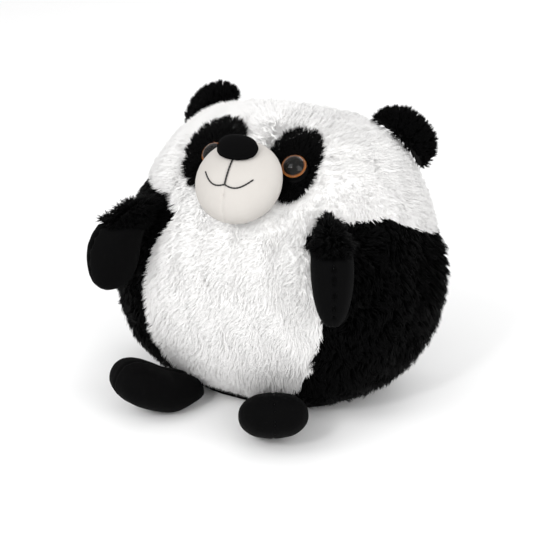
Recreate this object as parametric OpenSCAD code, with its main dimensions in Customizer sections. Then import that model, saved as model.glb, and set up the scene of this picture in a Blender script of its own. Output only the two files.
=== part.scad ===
// Sitting plush panda. Head and belly are one wide loaf of stuffing in a cut-and-sewn cover.
// X runs across, -Y is the way it faces, +Z is up. The origin is on the floor, under the seat.
// Every outer face of a fur piece is where the tips of its pile end.

/* [Body] */
// Greatest half width of the body
body_rx = 164; // [156:1:170]
// Greatest half depth of the body
body_ry = 117; // [112:1:122]
// Height of the widest level above the floor
waist_z = 119; // [115:1:121]
// Height of the crown above the widest level
crown_h = 145; // [141:1:149]
// Depth of the rounded seat below the widest level, before the flat base cuts it
seat_h = 128; // [126:1:132]
// Backward lean of the body, in mm for each mm of height
lean = 0.153; // [0.13:0.01:0.17]
// Narrowing of the crown across, as a share of the width
crown_narrow = 0.29; // [0.25:0.01:0.32]
// Narrowing of the crown from front to back, as a share of the depth
crown_thin = 0.075; // [0.05:0.005:0.1]

/* [Cover] */
// Thickness of a fur panel, backing cloth and pile together
fur_t = 9; // [7:0.5:10]
// Thickness of the short velour cloth
velour_t = 2.5; // [2:0.5:3]
// Angle left open at each side of a seam of the body, in degrees
seam_gap = 0.2; // [0.15:0.05:0.3]
// Level of the seam under the chin, in degrees above the widest level
chin_lift = 24; // [23:0.5:25]
// Turn of the seam from ear to ear over the crown, in degrees from the front
ear_turn = 112; // [108:1:116]

/* [Face] */
// Half width of the muzzle
muzzle_rx = 46; // [44:0.5:46]
// Half height of the muzzle along the face
muzzle_rz = 41; // [39:0.5:43]
// How far the muzzle's tip stands off its middle
muzzle_out = 27; // [25:0.5:30]
// Height of the muzzle's middle above the floor
muzzle_z = 216; // [214:1:216]
// Upward slant of the muzzle's axis
muzzle_tilt = 38; // [34:1:41]
// Half width of the nose
nose_rx = 20.5; // [19:0.5:22]
// Half height of the nose
nose_rz = 12.5; // [11:0.5:14]
// Distance from the middle of the face to each eye
eye_x = 41; // [41:0.5:43]
// Height of the eyes above the floor. Lower or further in, they meet the muzzle.
eye_z = 230; // [230:1:232]
// Radius of the eye's clear dome
eye_r = 11.5; // [10.5:0.5:12.5]
// Radius of the eye's post, which goes through the cover
post_r = 3; // [2.5:0.25:3.5]

/* [Limbs] */
// Outward turn of each arm from straight ahead
arm_turn = 30; // [26:1:33]
// Half height of the arm from the tip of its paw to the top of its sleeve
arm_h = 42; // [40:1:43]
// Outward turn of each foot from straight ahead
foot_turn = 31; // [28:1:34]
// Half length of the foot
foot_l = 39; // [36:1:40]
// Half width of the foot
foot_w = 33; // [30:1:34]
// Half height of the foot before its sole is flattened
foot_h = 22; // [21:1:24]
// Half width of the ear along its seam
ear_w = 32; // [28:1:33]
// Height of the ear above its seam
ear_h = 28; // [26:1:30]
// Half thickness of the ear
ear_t = 8; // [6:0.5:9]

/* [Hidden] */
$fn = 48;

white_fur = [0.94, 0.93, 0.91];
black_fur = [0.07, 0.07, 0.08];
black_velour = [0.12, 0.12, 0.13];
cream_velour = [0.92, 0.9, 0.87];
amber = [0.75, 0.4, 0.08];
filling = [0.85, 0.85, 0.82];

// Rounding of the body: 2 is an ellipse, and more is squarer.
plan_m = 2.36;
side_m = 4.1;
front_m = 2.15;
seat_m = 2.7;
// Space left between two pieces that lie on each other.
rest_gap = 0.3;
// Slack between the body's cover and its filling.
lining_gap = 1.5;
base_lift = asin(-waist_z / seat_h);
base_t = 3;

// Turn and level of the seam between the white head and the black body, in degrees.
head_seam = [[0, chin_lift], [26, chin_lift], [40, 28], [68, 28.5], [84, 22], [100, 15], [180, 13]];
// Level and turn of the seam down each side of the belly, in degrees.
belly_seam = [[-70, 12], [-58, 20], [-48, 25], [-25, 32], [-5, 33.5], [10, 33], [chin_lift, 26]];
// Level and turn of the crease seam at each flank, in degrees.
flank_seam = [[-70, 62], [-2, 74], [8, 80], [18, 86], [30, 92]];

function mix(a, b, t) = a + (b - a) * t;
function power(v, p) = sign(v) * pow(abs(v), p);
function fall(t, m) = pow(max(1 - pow(min(abs(t), 1), m), 0), 1 / m);
function unit(v) = v / norm(v);

// A vector in a limb's own axes turned outwards about +Z.
function swung(v, turn) = [
    v[0] * cos(turn) - v[1] * sin(turn),
    v[0] * sin(turn) + v[1] * cos(turn),
    v[2]
];

// A point of the body: turn from the front towards +X, lift above the widest level, and inset
// under the tips of the pile.
function skin(turn, lift, inset = 0) =
    let (
        s = sin(lift),
        up = max(s, 0),
        z = waist_z + (lift > 0 ? crown_h - inset : seat_h - inset) * s,
        rx = (body_rx - inset) * (1 - crown_narrow * up) * fall(s, lift > 0 ? side_m : seat_m),
        ry = (body_ry - inset) * (1 - crown_thin * up) * fall(s, lift > 0 ? front_m : seat_m)
    ) [
        rx * power(sin(turn), 2 / plan_m),
        lean * (z - waist_z) - ry * power(cos(turn), 2 / plan_m),
        z
    ];

// The body's front at a place across and a height, and the way it faces there.
function front_y(x, z) =
    let (
        lift = asin((z - waist_z) / (z > waist_z ? crown_h : seat_h)),
        rim = skin(90, lift)[0],
        deep = lean * (z - waist_z) - skin(0, lift)[1]
    ) lean * (z - waist_z) - deep * fall(x / rim, plan_m);
function front_normal(x, z, d = 0.5) = unit([
    (front_y(x + d, z) - front_y(x - d, z)) / (2 * d),
    -1,
    (front_y(x, z + d) - front_y(x, z - d)) / (2 * d)
]);
function on_front(x, z, off) = [x, front_y(x, z), z] + front_normal(x, z) * off;

// A solid between two layers of a surface. place(p, q, k) gives its points for p across and
// q upwards from 0 to 1, with k = 0 outside and k = 1 inside. A wrapped surface closes on
// itself, and a pole draws a whole row together.
module shell(place, cols, rows, wrap = false, low_pole = false, high_pole = false) {
    layer = (cols + 1) * (rows + 1);
    function at(i, j, k) = k * layer + j * (cols + 1)
        + ((j == 0 && low_pole) || (j == rows && high_pole) ? 0 : wrap ? i % cols : i);
    points = [
        for (k = [0, 1]) for (j = [0:rows]) for (i = [0:cols]) place(i / cols, j / rows, k)
    ];
    skins = [
        for (k = [0, 1]) for (j = [0:rows - 1]) for (i = [0:cols - 1])
            let (near = k == 0 ? i : i + 1, far = k == 0 ? i + 1 : i)
            [at(near, j, k), at(far, j, k), at(far, j + 1, k), at(near, j + 1, k)]
    ];
    low = low_pole ? [] : [
        for (i = [0:cols - 1]) [at(i + 1, 0, 0), at(i, 0, 0), at(i, 0, 1), at(i + 1, 0, 1)]
    ];
    high = high_pole ? [] : [
        for (i = [0:cols - 1])
            [at(i, rows, 0), at(i + 1, rows, 0), at(i + 1, rows, 1), at(i, rows, 1)]
    ];
    near_side = wrap ? [] : [
        for (j = [0:rows - 1]) [at(0, j, 0), at(0, j + 1, 0), at(0, j + 1, 1), at(0, j, 1)]
    ];
    far_side = wrap ? [] : [
        for (j = [0:rows - 1])
            [at(cols, j + 1, 0), at(cols, j, 0), at(cols, j, 1), at(cols, j + 1, 1)]
    ];
    polyhedron(points, halves(concat(skins, low, high, near_side, far_side)), convexity = 6);
}

// A filled solid inside one wrapped surface with a pole at each end.
module filled(place, cols, rows) {
    function at(i, j) = j * (cols + 1) + (j == 0 || j == rows ? 0 : i % cols);
    points = [for (j = [0:rows]) for (i = [0:cols]) place(i / cols, j / rows, 1)];
    quads = [
        for (j = [0:rows - 1]) for (i = [0:cols - 1])
            [at(i, j), at(i + 1, j), at(i + 1, j + 1), at(i, j + 1)]
    ];
    polyhedron(points, halves(quads), convexity = 4);
}

// Each four-sided face as two triangles, without those that a pole has closed up.
function halves(quads) = [
    for (q = quads) for (t = [[q[0], q[2], q[1]], [q[0], q[3], q[2]]])
        if (t[0] != t[1] && t[1] != t[2] && t[0] != t[2]) t
];

module body_stuffing() {
    deep = fur_t + lining_gap;
    color(filling) filled(
        function (p, q, k)
            let (
                rise = max(q * 22 - 1, 0) / 21,
                point = skin(360 * p, mix(base_lift, 90, rise), deep),
                floor_z = max(point[2], base_t + rest_gap)
            ) q == 0 ? [0, skin(0, base_lift)[1] / 2 + skin(180, base_lift)[1] / 2, floor_z]
                : [point[0], point[1], floor_z],
        44, 22
    );
}

module belly_panel() {
    color(white_fur) shell(
        function (p, q, k)
            let (
                lift = mix(base_lift, chin_lift - seam_gap, q),
                edge = lookup(lift, belly_seam) - seam_gap
            ) skin(mix(-edge, edge, p), lift, k * fur_t),
        14, 14
    );
}

module face_panel() {
    color(white_fur) shell(
        function (p, q, k)
            let (
                turn = mix(seam_gap - ear_turn, ear_turn - seam_gap, p),
                low = lookup(abs(turn), head_seam) + seam_gap
            ) skin(turn, mix(low, 90, q), k * fur_t),
        30, 13, high_pole = true
    );
}

module head_back_panel() {
    color(white_fur) shell(
        function (p, q, k)
            let (
                turn = mix(ear_turn + seam_gap, 360 - ear_turn - seam_gap, p),
                low = lookup(min(turn, 360 - turn), head_seam) + seam_gap
            ) skin(turn, mix(low, 90, q), k * fur_t),
        18, 13, high_pole = true
    );
}

// The black piece at the panda's left, from the belly to the crease of the flank.
module side_panel() {
    color(black_fur) shell(
        function (p, q, k)
            let (
                guess = mix(26, 88, p),
                lift = mix(base_lift, lookup(guess, head_seam) - seam_gap, q),
                turn = mix(
                    lookup(lift, belly_seam) + seam_gap,
                    lookup(lift, flank_seam) - seam_gap,
                    p
                ),
                level = min(lift, lookup(turn, head_seam) - seam_gap)
            ) skin(turn, level, k * fur_t),
        10, 15
    );
}

module back_panel() {
    color(black_fur) shell(
        function (p, q, k)
            let (
                guess = mix(88, 272, p),
                top = lookup(min(guess, 360 - guess), head_seam) - seam_gap,
                lift = mix(base_lift, top, q),
                edge = lookup(lift, flank_seam) + seam_gap,
                turn = mix(edge, 360 - edge, p),
                level = min(lift, lookup(min(turn, 360 - turn), head_seam) - seam_gap)
            ) skin(turn, level, k * fur_t),
        26, 14
    );
}

// The flat oval that the panda sits on.
module base_panel() {
    inner = fur_t * 0.6;
    outline = [
        for (i = [0:47]) let (rim = skin(360 * i / 48, base_lift, inner)) [rim[0], rim[1]]
    ];
    color(black_fur) linear_extrude(base_t) polygon(outline);
}

// A point of the muzzle, turned round its axis from +X, lifted from its widest ring to its
// tip, and set off its surface. Under the ring it draws in, to a seam that lies on the face.
muzzle_neck = 15;
seam_lift = -50;
muzzle_mid = [0, front_y(0, muzzle_z) - 9, muzzle_z];
muzzle_axis = [0, -cos(muzzle_tilt), sin(muzzle_tilt)];
muzzle_up = [0, sin(muzzle_tilt), cos(muzzle_tilt)];
function muzzle_point(turn, lift, off = 0) =
    muzzle_mid
    + [1, 0, 0] * (muzzle_rx + off) * cos(lift) * cos(turn)
    + muzzle_up * (muzzle_rz + off) * cos(lift) * sin(turn)
    + muzzle_axis * ((lift > 0 ? muzzle_out : muzzle_neck) + off) * sin(lift);
function muzzle_rim(turn, off) =
    let (p = muzzle_point(turn, seam_lift, off)) [p[0], front_y(p[0], p[2]) - rest_gap * 2, p[2]];
function muzzle_row(turn, q, off) =
    q == 0 ? muzzle_rim(turn, off) : muzzle_point(turn, mix(-26, 90, (q * 13 - 1) / 12), off);

// The half of the muzzle's cover at the panda's left. The seam runs down its middle.
module muzzle_cover() {
    color(cream_velour) shell(
        function (p, q, k)
            muzzle_row(mix(-90, 90, p), q, -k * velour_t) + [rest_gap / 2, 0, 0],
        16, 13, high_pole = true
    );
}

module muzzle_stuffing() {
    deep = -velour_t - rest_gap;
    color(filling) filled(
        function (p, q, k)
            q == 0 ? [0, front_y(0, muzzle_z) - rest_gap * 2, muzzle_z]
                : muzzle_row(360 * p, (q * 14 - 1) / 13, deep),
        24, 14
    );
}

// A place on the muzzle, given by its distances across and up from the tip.
nose_up = 27;
function muzzle_map(across, up, off) =
    let (
        reach = norm([across, up]),
        lift = 90 - reach / muzzle_rx * 180 / PI
    ) muzzle_point(atan2(up, across), lift, off);

module nose() {
    thick = 8.5;
    edge_t = 2;
    color(black_velour) shell(
        function (p, q, k)
            let (
                turn = 360 * p,
                wide = nose_rx * (1 + 0.12 * sin(turn)) * (1 - q),
                tall = nose_rz * (1 - q),
                off = k == 1 ? rest_gap : edge_t + (thick - edge_t) * fall(1 - q, 2.4)
            ) muzzle_map(wide * power(cos(turn), 0.85), nose_up + tall * power(sin(turn), 0.85), off),
        28, 6, wrap = true, high_pole = true
    );
}

// The stitched line under the nose and the smile. Both are ribbons of thread on the muzzle.
thread_w = 1.8;
smile_w = 26;
smile_low = -13.5;
smile_rise = 11;
smile_turn = 4;
module mouth_stitch() {
    color(black_velour) {
        shell(
            function (p, q, k)
                muzzle_map(
                    (p - 0.5) * thread_w,
                    mix(smile_low + 1.2, nose_up - nose_rz - 1, q),
                    k == 1 ? rest_gap : thread_w
                ),
            3, 6
        );
        shell(
            function (p, q, k)
                let (
                    across = mix(smile_w, -smile_w, q),
                    bend = abs(across) / smile_w
                ) muzzle_map(
                    across,
                    smile_low - thread_w + (p - 0.5) * thread_w
                        + smile_rise * pow(bend, 2) - smile_turn * sin(180 * bend),
                    k == 1 ? rest_gap : thread_w
                ),
            3, 20
        );
    }
}

// The long-pile patch round the panda's left eye. It is let into the face.
patch_sink = -4;
patch_rise = 1.5;
module eye_patch() {
    middle = [eye_x + 3.5, eye_z + 1];
    color(black_fur) shell(
        function (p, q, k)
            let (
                turn = 360 * p,
                wide = 24 * (1 + 0.1 * sin(turn)),
                tall = sin(turn) > 0 ? 24 : 30,
                x = middle[0] + wide * cos(turn) * (1 - q) - 3 * sin(turn) * (1 - q),
                z = middle[1] + tall * sin(turn) * (1 - q)
            ) on_front(x, z, k == 1 ? patch_sink : patch_rise * fall(1 - q, 2) - 0.5),
        24, 5, wrap = true, high_pole = true
    );
}

// Stands a piece at the panda's left eye, with +Z along the eye's own axis.
eye_sink = -3.5;
plate_t = 2.5;
pupil_r = 6.5;
paint_t = 0.6;
lens_h = 7;
module at_eye() {
    n = front_normal(eye_x, eye_z);
    translate(on_front(eye_x, eye_z, eye_sink)) rotate([0, acos(n[2]), atan2(n[1], n[0])])
        children();
}

// Black back plate with the pupil and the ribbed post that the washer grips.
module eye_base() {
    post_l = 15;
    color(black_velour) at_eye() {
        cylinder(h = plate_t, r = eye_r);
        cylinder(h = plate_t + paint_t, r = pupil_r);
        translate([0, 0, -post_l]) cylinder(h = post_l, r = post_r);
        for (rib = [1:3]) translate([0, 0, -post_l + rib * 2.2])
            cylinder(h = 0.8, r1 = post_r, r2 = post_r + 0.5);
    }
}

module eye_iris() {
    color(amber) at_eye() translate([0, 0, plate_t]) difference() {
        cylinder(h = paint_t, r = eye_r - 0.6);
        translate([0, 0, -1]) cylinder(h = paint_t + 2, r = pupil_r);
    }
}

module eye_lens() {
    ball_r = (eye_r * eye_r + lens_h * lens_h) / (2 * lens_h);
    color([0.9, 0.85, 0.75, 0.5]) at_eye() translate([0, 0, plate_t + paint_t]) intersection() {
        translate([0, 0, lens_h - ball_r]) sphere(r = ball_r);
        cylinder(h = lens_h + 1, r = eye_r + 1);
    }
}

module eye_washer() {
    washer_r = 10;
    washer_t = 2;
    color("white") at_eye() translate([0, 0, -fur_t - eye_sink - rest_gap - washer_t]) difference() {
        cylinder(h = washer_t, r = washer_r);
        translate([0, 0, -1]) cylinder(h = washer_t + 2, r = post_r + 0.05);
    }
}

// The hand-sewn closing low at the middle of the back: a row of short stitches.
module closing_stitch() {
    stitch_turn = 1.6;
    stitch_rise = 0.5;
    color(black_velour) for (n = [0:9]) shell(
        function (p, q, k)
            skin(180 + (p - 0.5) * 2 * stitch_turn, -46 + n * 2.6 + q * stitch_rise,
                k == 1 ? -rest_gap : -rest_gap - 1),
        3, 2
    );
}

// A plain strip of satin ribbon caught in the flank seam, lying on the fur.
module care_label() {
    ribbon_t = 0.7;
    color("white") shell(
        function (p, q, k)
            skin(mix(128, 140, p), mix(-44, -28, q), -2 + k * ribbon_t),
        6, 8
    );
}

// A point of the panda's left arm. q runs from the paw's tip to the sleeve's top, and the
// slices stay level, so the paw hangs under the end of the sleeve.
arm_root = [91, front_y(91, 168), 168];
arm_mid_z = -19;
arm_deep = 26;
arm_wide = 18.5;
cuff_q = 0.5;
function arm_point(turn, level, deep) =
    let (
        round = fall(level, level > 0 ? 2.1 : 2.5),
        out = 38.8 - 20 * pow(max(level + 0.25, 0), 2) - 4 * min(level + 0.25, 0),
        side = (arm_wide + 3.5 * level - deep) * max(round, 0.02),
        reach = (arm_deep - deep) * max(round, 0.02)
    ) arm_root + swung(
        [
            side * power(sin(turn), 0.9),
            -out - reach * power(cos(turn), 0.9),
            arm_mid_z + (arm_h - deep) * level
        ],
        arm_turn
    );

module arm_stuffing() {
    deep = fur_t + rest_gap;
    color(filling) filled(
        function (p, q, k) arm_point(360 * p, sin(mix(-90, 90, q)), deep),
        22, 12
    );
}

module arm_sleeve() {
    color(black_fur) shell(
        function (p, q, k)
            let (lift = mix(asin(cuff_q + 0.01), 90, q))
            arm_point(360 * p, sin(lift), k * fur_t),
        24, 7, wrap = true, high_pole = true
    );
}

// One half of the paw: side 1 is the outer half and -1 the inner half.
module paw_half(side) {
    from = side > 0 ? 0 : 180;
    color(black_velour) shell(
        function (p, q, k)
            let (lift = mix(-90, asin(cuff_q), q))
            arm_point(from + 180 * p, sin(lift), k * velour_t)
                + swung([side * rest_gap / 2, 0, 0], arm_turn),
        12, 9, low_pole = true
    );
}

// A point of the panda's left foot. q runs from the heel to the toes.
foot_mid = [63, -136, 26];
foot_tilt = 30;
function foot_point(turn, along, deep) =
    let (
        round = max(fall(along, 2.6), 0.02),
        side = (foot_w - deep) * (0.93 + 0.09 * along) * round * power(cos(turn), 0.9),
        rise = (foot_h - deep) * (0.92 + 0.1 * along) * round * power(sin(turn), 0.9),
        ahead = (foot_l - deep) * along,
        level = [side, -ahead * cos(foot_tilt) + rise * sin(foot_tilt),
            ahead * sin(foot_tilt) + rise * cos(foot_tilt)],
        point = foot_mid + swung(level, foot_turn)
    ) [point[0], point[1], max(point[2], deep)];

module foot_stuffing() {
    deep = velour_t + rest_gap;
    color(filling) filled(
        function (p, q, k) foot_point(-360 * p, sin(mix(-90, 90, q)), deep),
        22, 12
    );
}

// One half of the foot's cover: side 1 is the outer half and -1 the inner half.
module foot_half(side) {
    from = side > 0 ? 90 : 270;
    color(black_velour) shell(
        function (p, q, k)
            foot_point(from - 180 * p, sin(mix(-90, 90, q)), k * velour_t)
                + swung([side * rest_gap / 2, 0, 0], foot_turn),
        13, 13, low_pole = true, high_pole = true
    );
}

// A point of the panda's left ear: across from its inner to its outer end, up from its seam,
// and off its middle plane. The lower edge follows the curve of the head.
ear_mid = [102, 49, 238];
ear_slope = 43;
ear_back = 20;
ear_yaw = 12;
ear_sag = 7;
function ear_point(across, rise, side, off) =
    let (
        top = ear_h * fall(across, 2.2),
        low = 3.5 - ear_sag * across * across,
        up = mix(low, top, rise),
        thin = fall(min(norm([across, max(up, 0) / ear_h]), 1), 2.2),
        deep = off == 1 ? rest_gap / 2 : 2 + (ear_t - 2) * thin,
        along = ear_w * across,
        back = side * deep + up * sin(ear_back),
        flat = [along * cos(ear_slope) + up * sin(ear_slope), back,
            -along * sin(ear_slope) + up * cos(ear_slope)]
    ) ear_mid + swung(flat, ear_yaw);

// One half of the ear: side -1 is its front and 1 its back.
module ear_half(side) {
    color(black_fur) shell(
        function (p, q, k)
            ear_point(sin(mix(76, -76, side < 0 ? 1 - p : p)), q, side, k),
        16, 7
    );
}

module mirrored() {
    mirror([1, 0, 0]) children();
}

body_stuffing();
belly_panel();
face_panel();
head_back_panel();
side_panel();  // side_panel_left
mirrored() side_panel();  // side_panel_right
back_panel();
base_panel();
muzzle_stuffing();
muzzle_cover();  // muzzle_cover_left
mirrored() muzzle_cover();  // muzzle_cover_right
nose();
mouth_stitch();
eye_patch();  // eye_patch_left
mirrored() eye_patch();  // eye_patch_right
eye_base();  // eye_base_left
mirrored() eye_base();  // eye_base_right
eye_iris();  // eye_iris_left
mirrored() eye_iris();  // eye_iris_right
eye_lens();  // eye_lens_left
mirrored() eye_lens();  // eye_lens_right
eye_washer();  // eye_washer_left
mirrored() eye_washer();  // eye_washer_right
closing_stitch();
care_label();
arm_stuffing();  // arm_stuffing_left
arm_sleeve();  // arm_sleeve_left
paw_half(-1);  // paw_inner_left
paw_half(1);  // paw_outer_left
mirrored() arm_stuffing();  // arm_stuffing_right
mirrored() arm_sleeve();  // arm_sleeve_right
mirrored() paw_half(-1);  // paw_inner_right
mirrored() paw_half(1);  // paw_outer_right
foot_stuffing();  // foot_stuffing_left
foot_half(-1);  // foot_inner_left
foot_half(1);  // foot_outer_left
mirrored() foot_stuffing();  // foot_stuffing_right
mirrored() foot_half(-1);  // foot_inner_right
mirrored() foot_half(1);  // foot_outer_right
ear_half(-1);  // ear_front_left
ear_half(1);  // ear_back_left
mirrored() ear_half(-1);  // ear_front_right
mirrored() ear_half(1);  // ear_back_right
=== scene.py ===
"""The looks of a sitting plush panda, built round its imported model.

Every length is in metres, X runs across, -Y is the way the panda faces and +Z is up.
Padded pieces are puffed with cloth under pressure. Long pile is grown as tapered hairs.
"""

import logging
import math
from collections.abc import Callable, Iterator, Sequence
from contextlib import contextmanager
from dataclasses import dataclass, field, replace
from enum import Enum
from typing import Any

import bpy
import numpy as np
from mathutils import Matrix, Vector
from mathutils.bvhtree import BVHTree
from mathutils.kdtree import KDTree


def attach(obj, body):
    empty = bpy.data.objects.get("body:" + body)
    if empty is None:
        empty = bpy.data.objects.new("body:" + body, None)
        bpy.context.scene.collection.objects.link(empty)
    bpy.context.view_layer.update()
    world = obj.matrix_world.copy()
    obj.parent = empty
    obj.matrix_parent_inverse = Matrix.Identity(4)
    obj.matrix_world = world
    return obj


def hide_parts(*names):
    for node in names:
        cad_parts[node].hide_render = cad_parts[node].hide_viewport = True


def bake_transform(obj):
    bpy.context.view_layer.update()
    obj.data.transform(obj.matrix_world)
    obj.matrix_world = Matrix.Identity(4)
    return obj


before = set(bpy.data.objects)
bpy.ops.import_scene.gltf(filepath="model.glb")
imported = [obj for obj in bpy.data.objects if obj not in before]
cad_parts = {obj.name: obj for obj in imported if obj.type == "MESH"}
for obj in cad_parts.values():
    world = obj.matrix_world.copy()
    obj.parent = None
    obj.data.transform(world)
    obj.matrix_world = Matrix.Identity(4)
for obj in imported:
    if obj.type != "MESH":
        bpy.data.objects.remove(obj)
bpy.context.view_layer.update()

MM = 0.001
LOG = logging.getLogger("panda")
Colour = tuple[float, float, float]
Field = Callable[[np.ndarray], np.ndarray]

WELD = 0.4 * MM  # edges shorter than this are merged where a form is cut
SEAM_STEPS = (-1.6, -1.1, -0.7, -0.35, 0, 0.35, 0.7, 1.1, 1.6)  # loops, in valley widths
FLOOR_GAP = 0.1 * MM
CLOTH_STEPS = 20
CLOTH_PRESSURE = 4.0


class Side(Enum):
    """The panda's own left, at +X, and right."""

    LEFT = 1
    RIGHT = -1

    @property
    def word(self) -> str:
        """The side's name as it ends the names of nodes."""
        return self.name.lower()


# ---------------------------------------------------------------- materials


class Value:
    """A number socket of a material that takes part in Python arithmetic."""

    def __init__(self, graph: "Graph", socket: bpy.types.NodeSocket) -> None:
        """Wraps a socket of a graph."""
        self.graph = graph
        self.socket = socket

    def _with(self, operation: str, other: Any, swapped: bool = False) -> "Value":
        """Adds a Math node.

        Args:
            operation: The Math node's operation.
            other: A number or another value.
            swapped: Whether the other comes first.

        Returns:
            The node's result.
        """
        pair = [other, self] if swapped else [self, other]
        node = self.graph.node(
            "ShaderNodeMath", {"operation": operation}, {0: pair[0], 1: pair[1]}
        )
        return Value(self.graph, node.outputs[0])

    def __add__(self, other: Any) -> "Value":
        """Sum."""
        return self._with("ADD", other)

    __radd__ = __add__

    def __mul__(self, other: Any) -> "Value":
        """Product."""
        return self._with("MULTIPLY", other)

    __rmul__ = __mul__

    def __sub__(self, other: Any) -> "Value":
        """Difference."""
        return self._with("SUBTRACT", other)

    def __rsub__(self, other: Any) -> "Value":
        """Difference from a number."""
        return self._with("SUBTRACT", other, swapped=True)


class Graph:
    """A material's nodes, with one Principled shader."""

    def __init__(self, name: str, **plain: Any) -> None:
        """Makes the material.

        Args:
            name: The material's name.
            **plain: Values of the shader's own sockets, with _ for a space in a name.
        """
        self.material = bpy.data.materials.new(name)
        self.material.use_nodes = True
        self.tree = self.material.node_tree
        self.shader = self.tree.nodes["Principled BSDF"]
        for key, value in plain.items():
            self.shader.inputs[key.replace("_", " ")].default_value = value

    def node(
        self,
        kind: str,
        settings: dict[str, Any] | None = None,
        inputs: dict[Any, Any] | None = None,
    ) -> bpy.types.Node:
        """Adds a node.

        Args:
            kind: The node's type.
            settings: Its properties, which are set first.
            inputs: Values or links of its sockets, by name or number.

        Returns:
            The node.
        """
        made = self.tree.nodes.new(kind)
        for key, value in (settings or {}).items():
            setattr(made, key, value)
        for key, value in (inputs or {}).items():
            self.feed(made.inputs[key], value)
        return made

    def feed(self, socket: bpy.types.NodeSocket, value: Any) -> None:
        """Links or sets a socket.

        Args:
            socket: The socket to feed.
            value: A Value, an output socket or a plain value.
        """
        if isinstance(value, Value):
            value = value.socket
        if isinstance(value, bpy.types.NodeSocket):
            self.tree.links.new(value, socket)
        else:
            socket.default_value = value

    def place(self) -> bpy.types.NodeSocket:
        """The Object coordinates."""
        return self.node("ShaderNodeTexCoord").outputs["Object"]

    def noise(self, scale: float, detail: float = 2.0) -> Value:
        """Adds noise.

        Args:
            scale: Repeats for each metre.
            detail: Octaves.

        Returns:
            The noise, from 0 to 1.
        """
        made = self.node(
            "ShaderNodeTexNoise",
            None,
            {"Vector": self.place(), "Scale": scale, "Detail": detail},
        )
        return Value(self, made.outputs[0])

    def blend(self, share: Any, low: Colour, high: Any) -> bpy.types.NodeSocket:
        """Mixes two colours.

        Args:
            share: How much of the second.
            low: The first colour.
            high: The second colour, or a colour socket.

        Returns:
            The mixed colour's socket.
        """
        made = self.node("ShaderNodeMix", {"data_type": "RGBA", "clamp_factor": True})
        self.feed(made.inputs[0], share)
        self.feed(made.inputs[6], (*low, 1.0) if isinstance(low, tuple) else low)
        self.feed(made.inputs[7], (*high, 1.0) if isinstance(high, tuple) else high)
        return made.outputs[2]

    def bump(self, height: Any, depth: float) -> None:
        """Gives the shader a bump.

        Args:
            height: The height, from 0 to 1.
            depth: Metres from 0 to 1.
        """
        made = self.node(
            "ShaderNodeBump", None, {"Height": height, "Distance": depth, "Strength": 1.0}
        )
        self.feed(self.shader.inputs["Normal"], made.outputs[0])

    def paint(self, colour: Any) -> bpy.types.Material:
        """Feeds the base colour and returns the material."""
        self.feed(self.shader.inputs["Base Color"], colour)
        return self.material


@dataclass(frozen=True)
class FurFinish:
    """Pile that runs from a darker root colour, painted shade deep in the pile, to a tip colour,
    each hair of its own tone.
    """

    name: str
    root: Colour
    tip: Colour
    shade: Colour
    roughness: float = 0.6
    sheen: float = 0.1
    specular: float = 0.06

    def material(self) -> bpy.types.Material:
        """Builds the material. The map runs across by tone and up from root to tip.

        Returns:
            The material.
        """
        graph = Graph(
            self.name,
            Roughness=self.roughness,
            Sheen_Weight=self.sheen,
            Sheen_Roughness=0.4,
            Specular_IOR_Level=self.specular,
        )
        uv = graph.node("ShaderNodeUVMap", {"uv_map": "OFBake"})
        parts = graph.node("ShaderNodeSeparateXYZ", None, {0: uv.outputs[0]})
        tone, along = Value(graph, parts.outputs[0]), Value(graph, parts.outputs[1])
        # painted shade: each hair darkens towards its root, where the pile shades itself
        root_shaded = graph.blend(along * 1.1, self.root, self.tip)
        return graph.paint(graph.blend(tone * 0.6, root_shaded, self.shade))


@dataclass(frozen=True)
class ClothFinish:
    """Short velour or knitted cloth: a nap in the bump and brushed patches in its colour."""

    name: str
    colour: Colour
    brushed: Colour
    nap: float = 0.35 * MM
    depth: float = 0.12 * MM
    sheen: float = 0.35
    roughness: float = 0.85
    specular: float = 0.05

    def material(self) -> bpy.types.Material:
        """Builds the material.

        Returns:
            The material.
        """
        graph = Graph(
            self.name,
            Sheen_Weight=self.sheen,
            Sheen_Roughness=0.45,
            Specular_IOR_Level=self.specular,
        )
        nap = graph.noise(1 / self.nap / 4, 3.0)
        stroke = graph.noise(70.0, 3.0)
        graph.bump(nap * 0.75 + stroke * 0.25, self.depth)
        graph.feed(graph.shader.inputs["Roughness"], nap * 0.12 + (self.roughness - 0.06))
        return graph.paint(graph.blend(stroke * 0.7 + nap * 0.3, self.colour, self.brushed))


@dataclass(frozen=True)
class ThreadFinish:
    """Spun thread with a fine twist along it."""

    name: str
    colour: Colour
    lit: Colour

    def material(self) -> bpy.types.Material:
        """Builds the material.

        Returns:
            The material.
        """
        graph = Graph(self.name, Sheen_Weight=0.15, Specular_IOR_Level=0.3)
        fibre = graph.noise(2600.0, 2.0)
        graph.bump(fibre, 0.08 * MM)
        graph.feed(graph.shader.inputs["Roughness"], fibre * 0.2 + 0.5)
        return graph.paint(graph.blend(fibre, self.colour, self.lit))


@dataclass(frozen=True)
class RibbonFinish:
    """Satin ribbon, woven in fine lines."""

    name: str
    colour: Colour
    shade: Colour
    pitch: float = 0.45 * MM

    def material(self) -> bpy.types.Material:
        """Builds the material.

        Returns:
            The material.
        """
        graph = Graph(self.name, Sheen_Weight=0.2, Specular_IOR_Level=0.5)
        wave = graph.node(
            "ShaderNodeTexWave",
            {"wave_type": "BANDS", "bands_direction": "Z"},
            {"Vector": graph.place(), "Scale": 1 / self.pitch / 20, "Distortion": 0.6},
        )
        weave = Value(graph, wave.outputs[1])
        graph.bump(weave, 0.05 * MM)
        graph.feed(graph.shader.inputs["Roughness"], weave * 0.15 + 0.3)
        return graph.paint(graph.blend(weave * 0.5, self.colour, self.shade))


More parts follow.
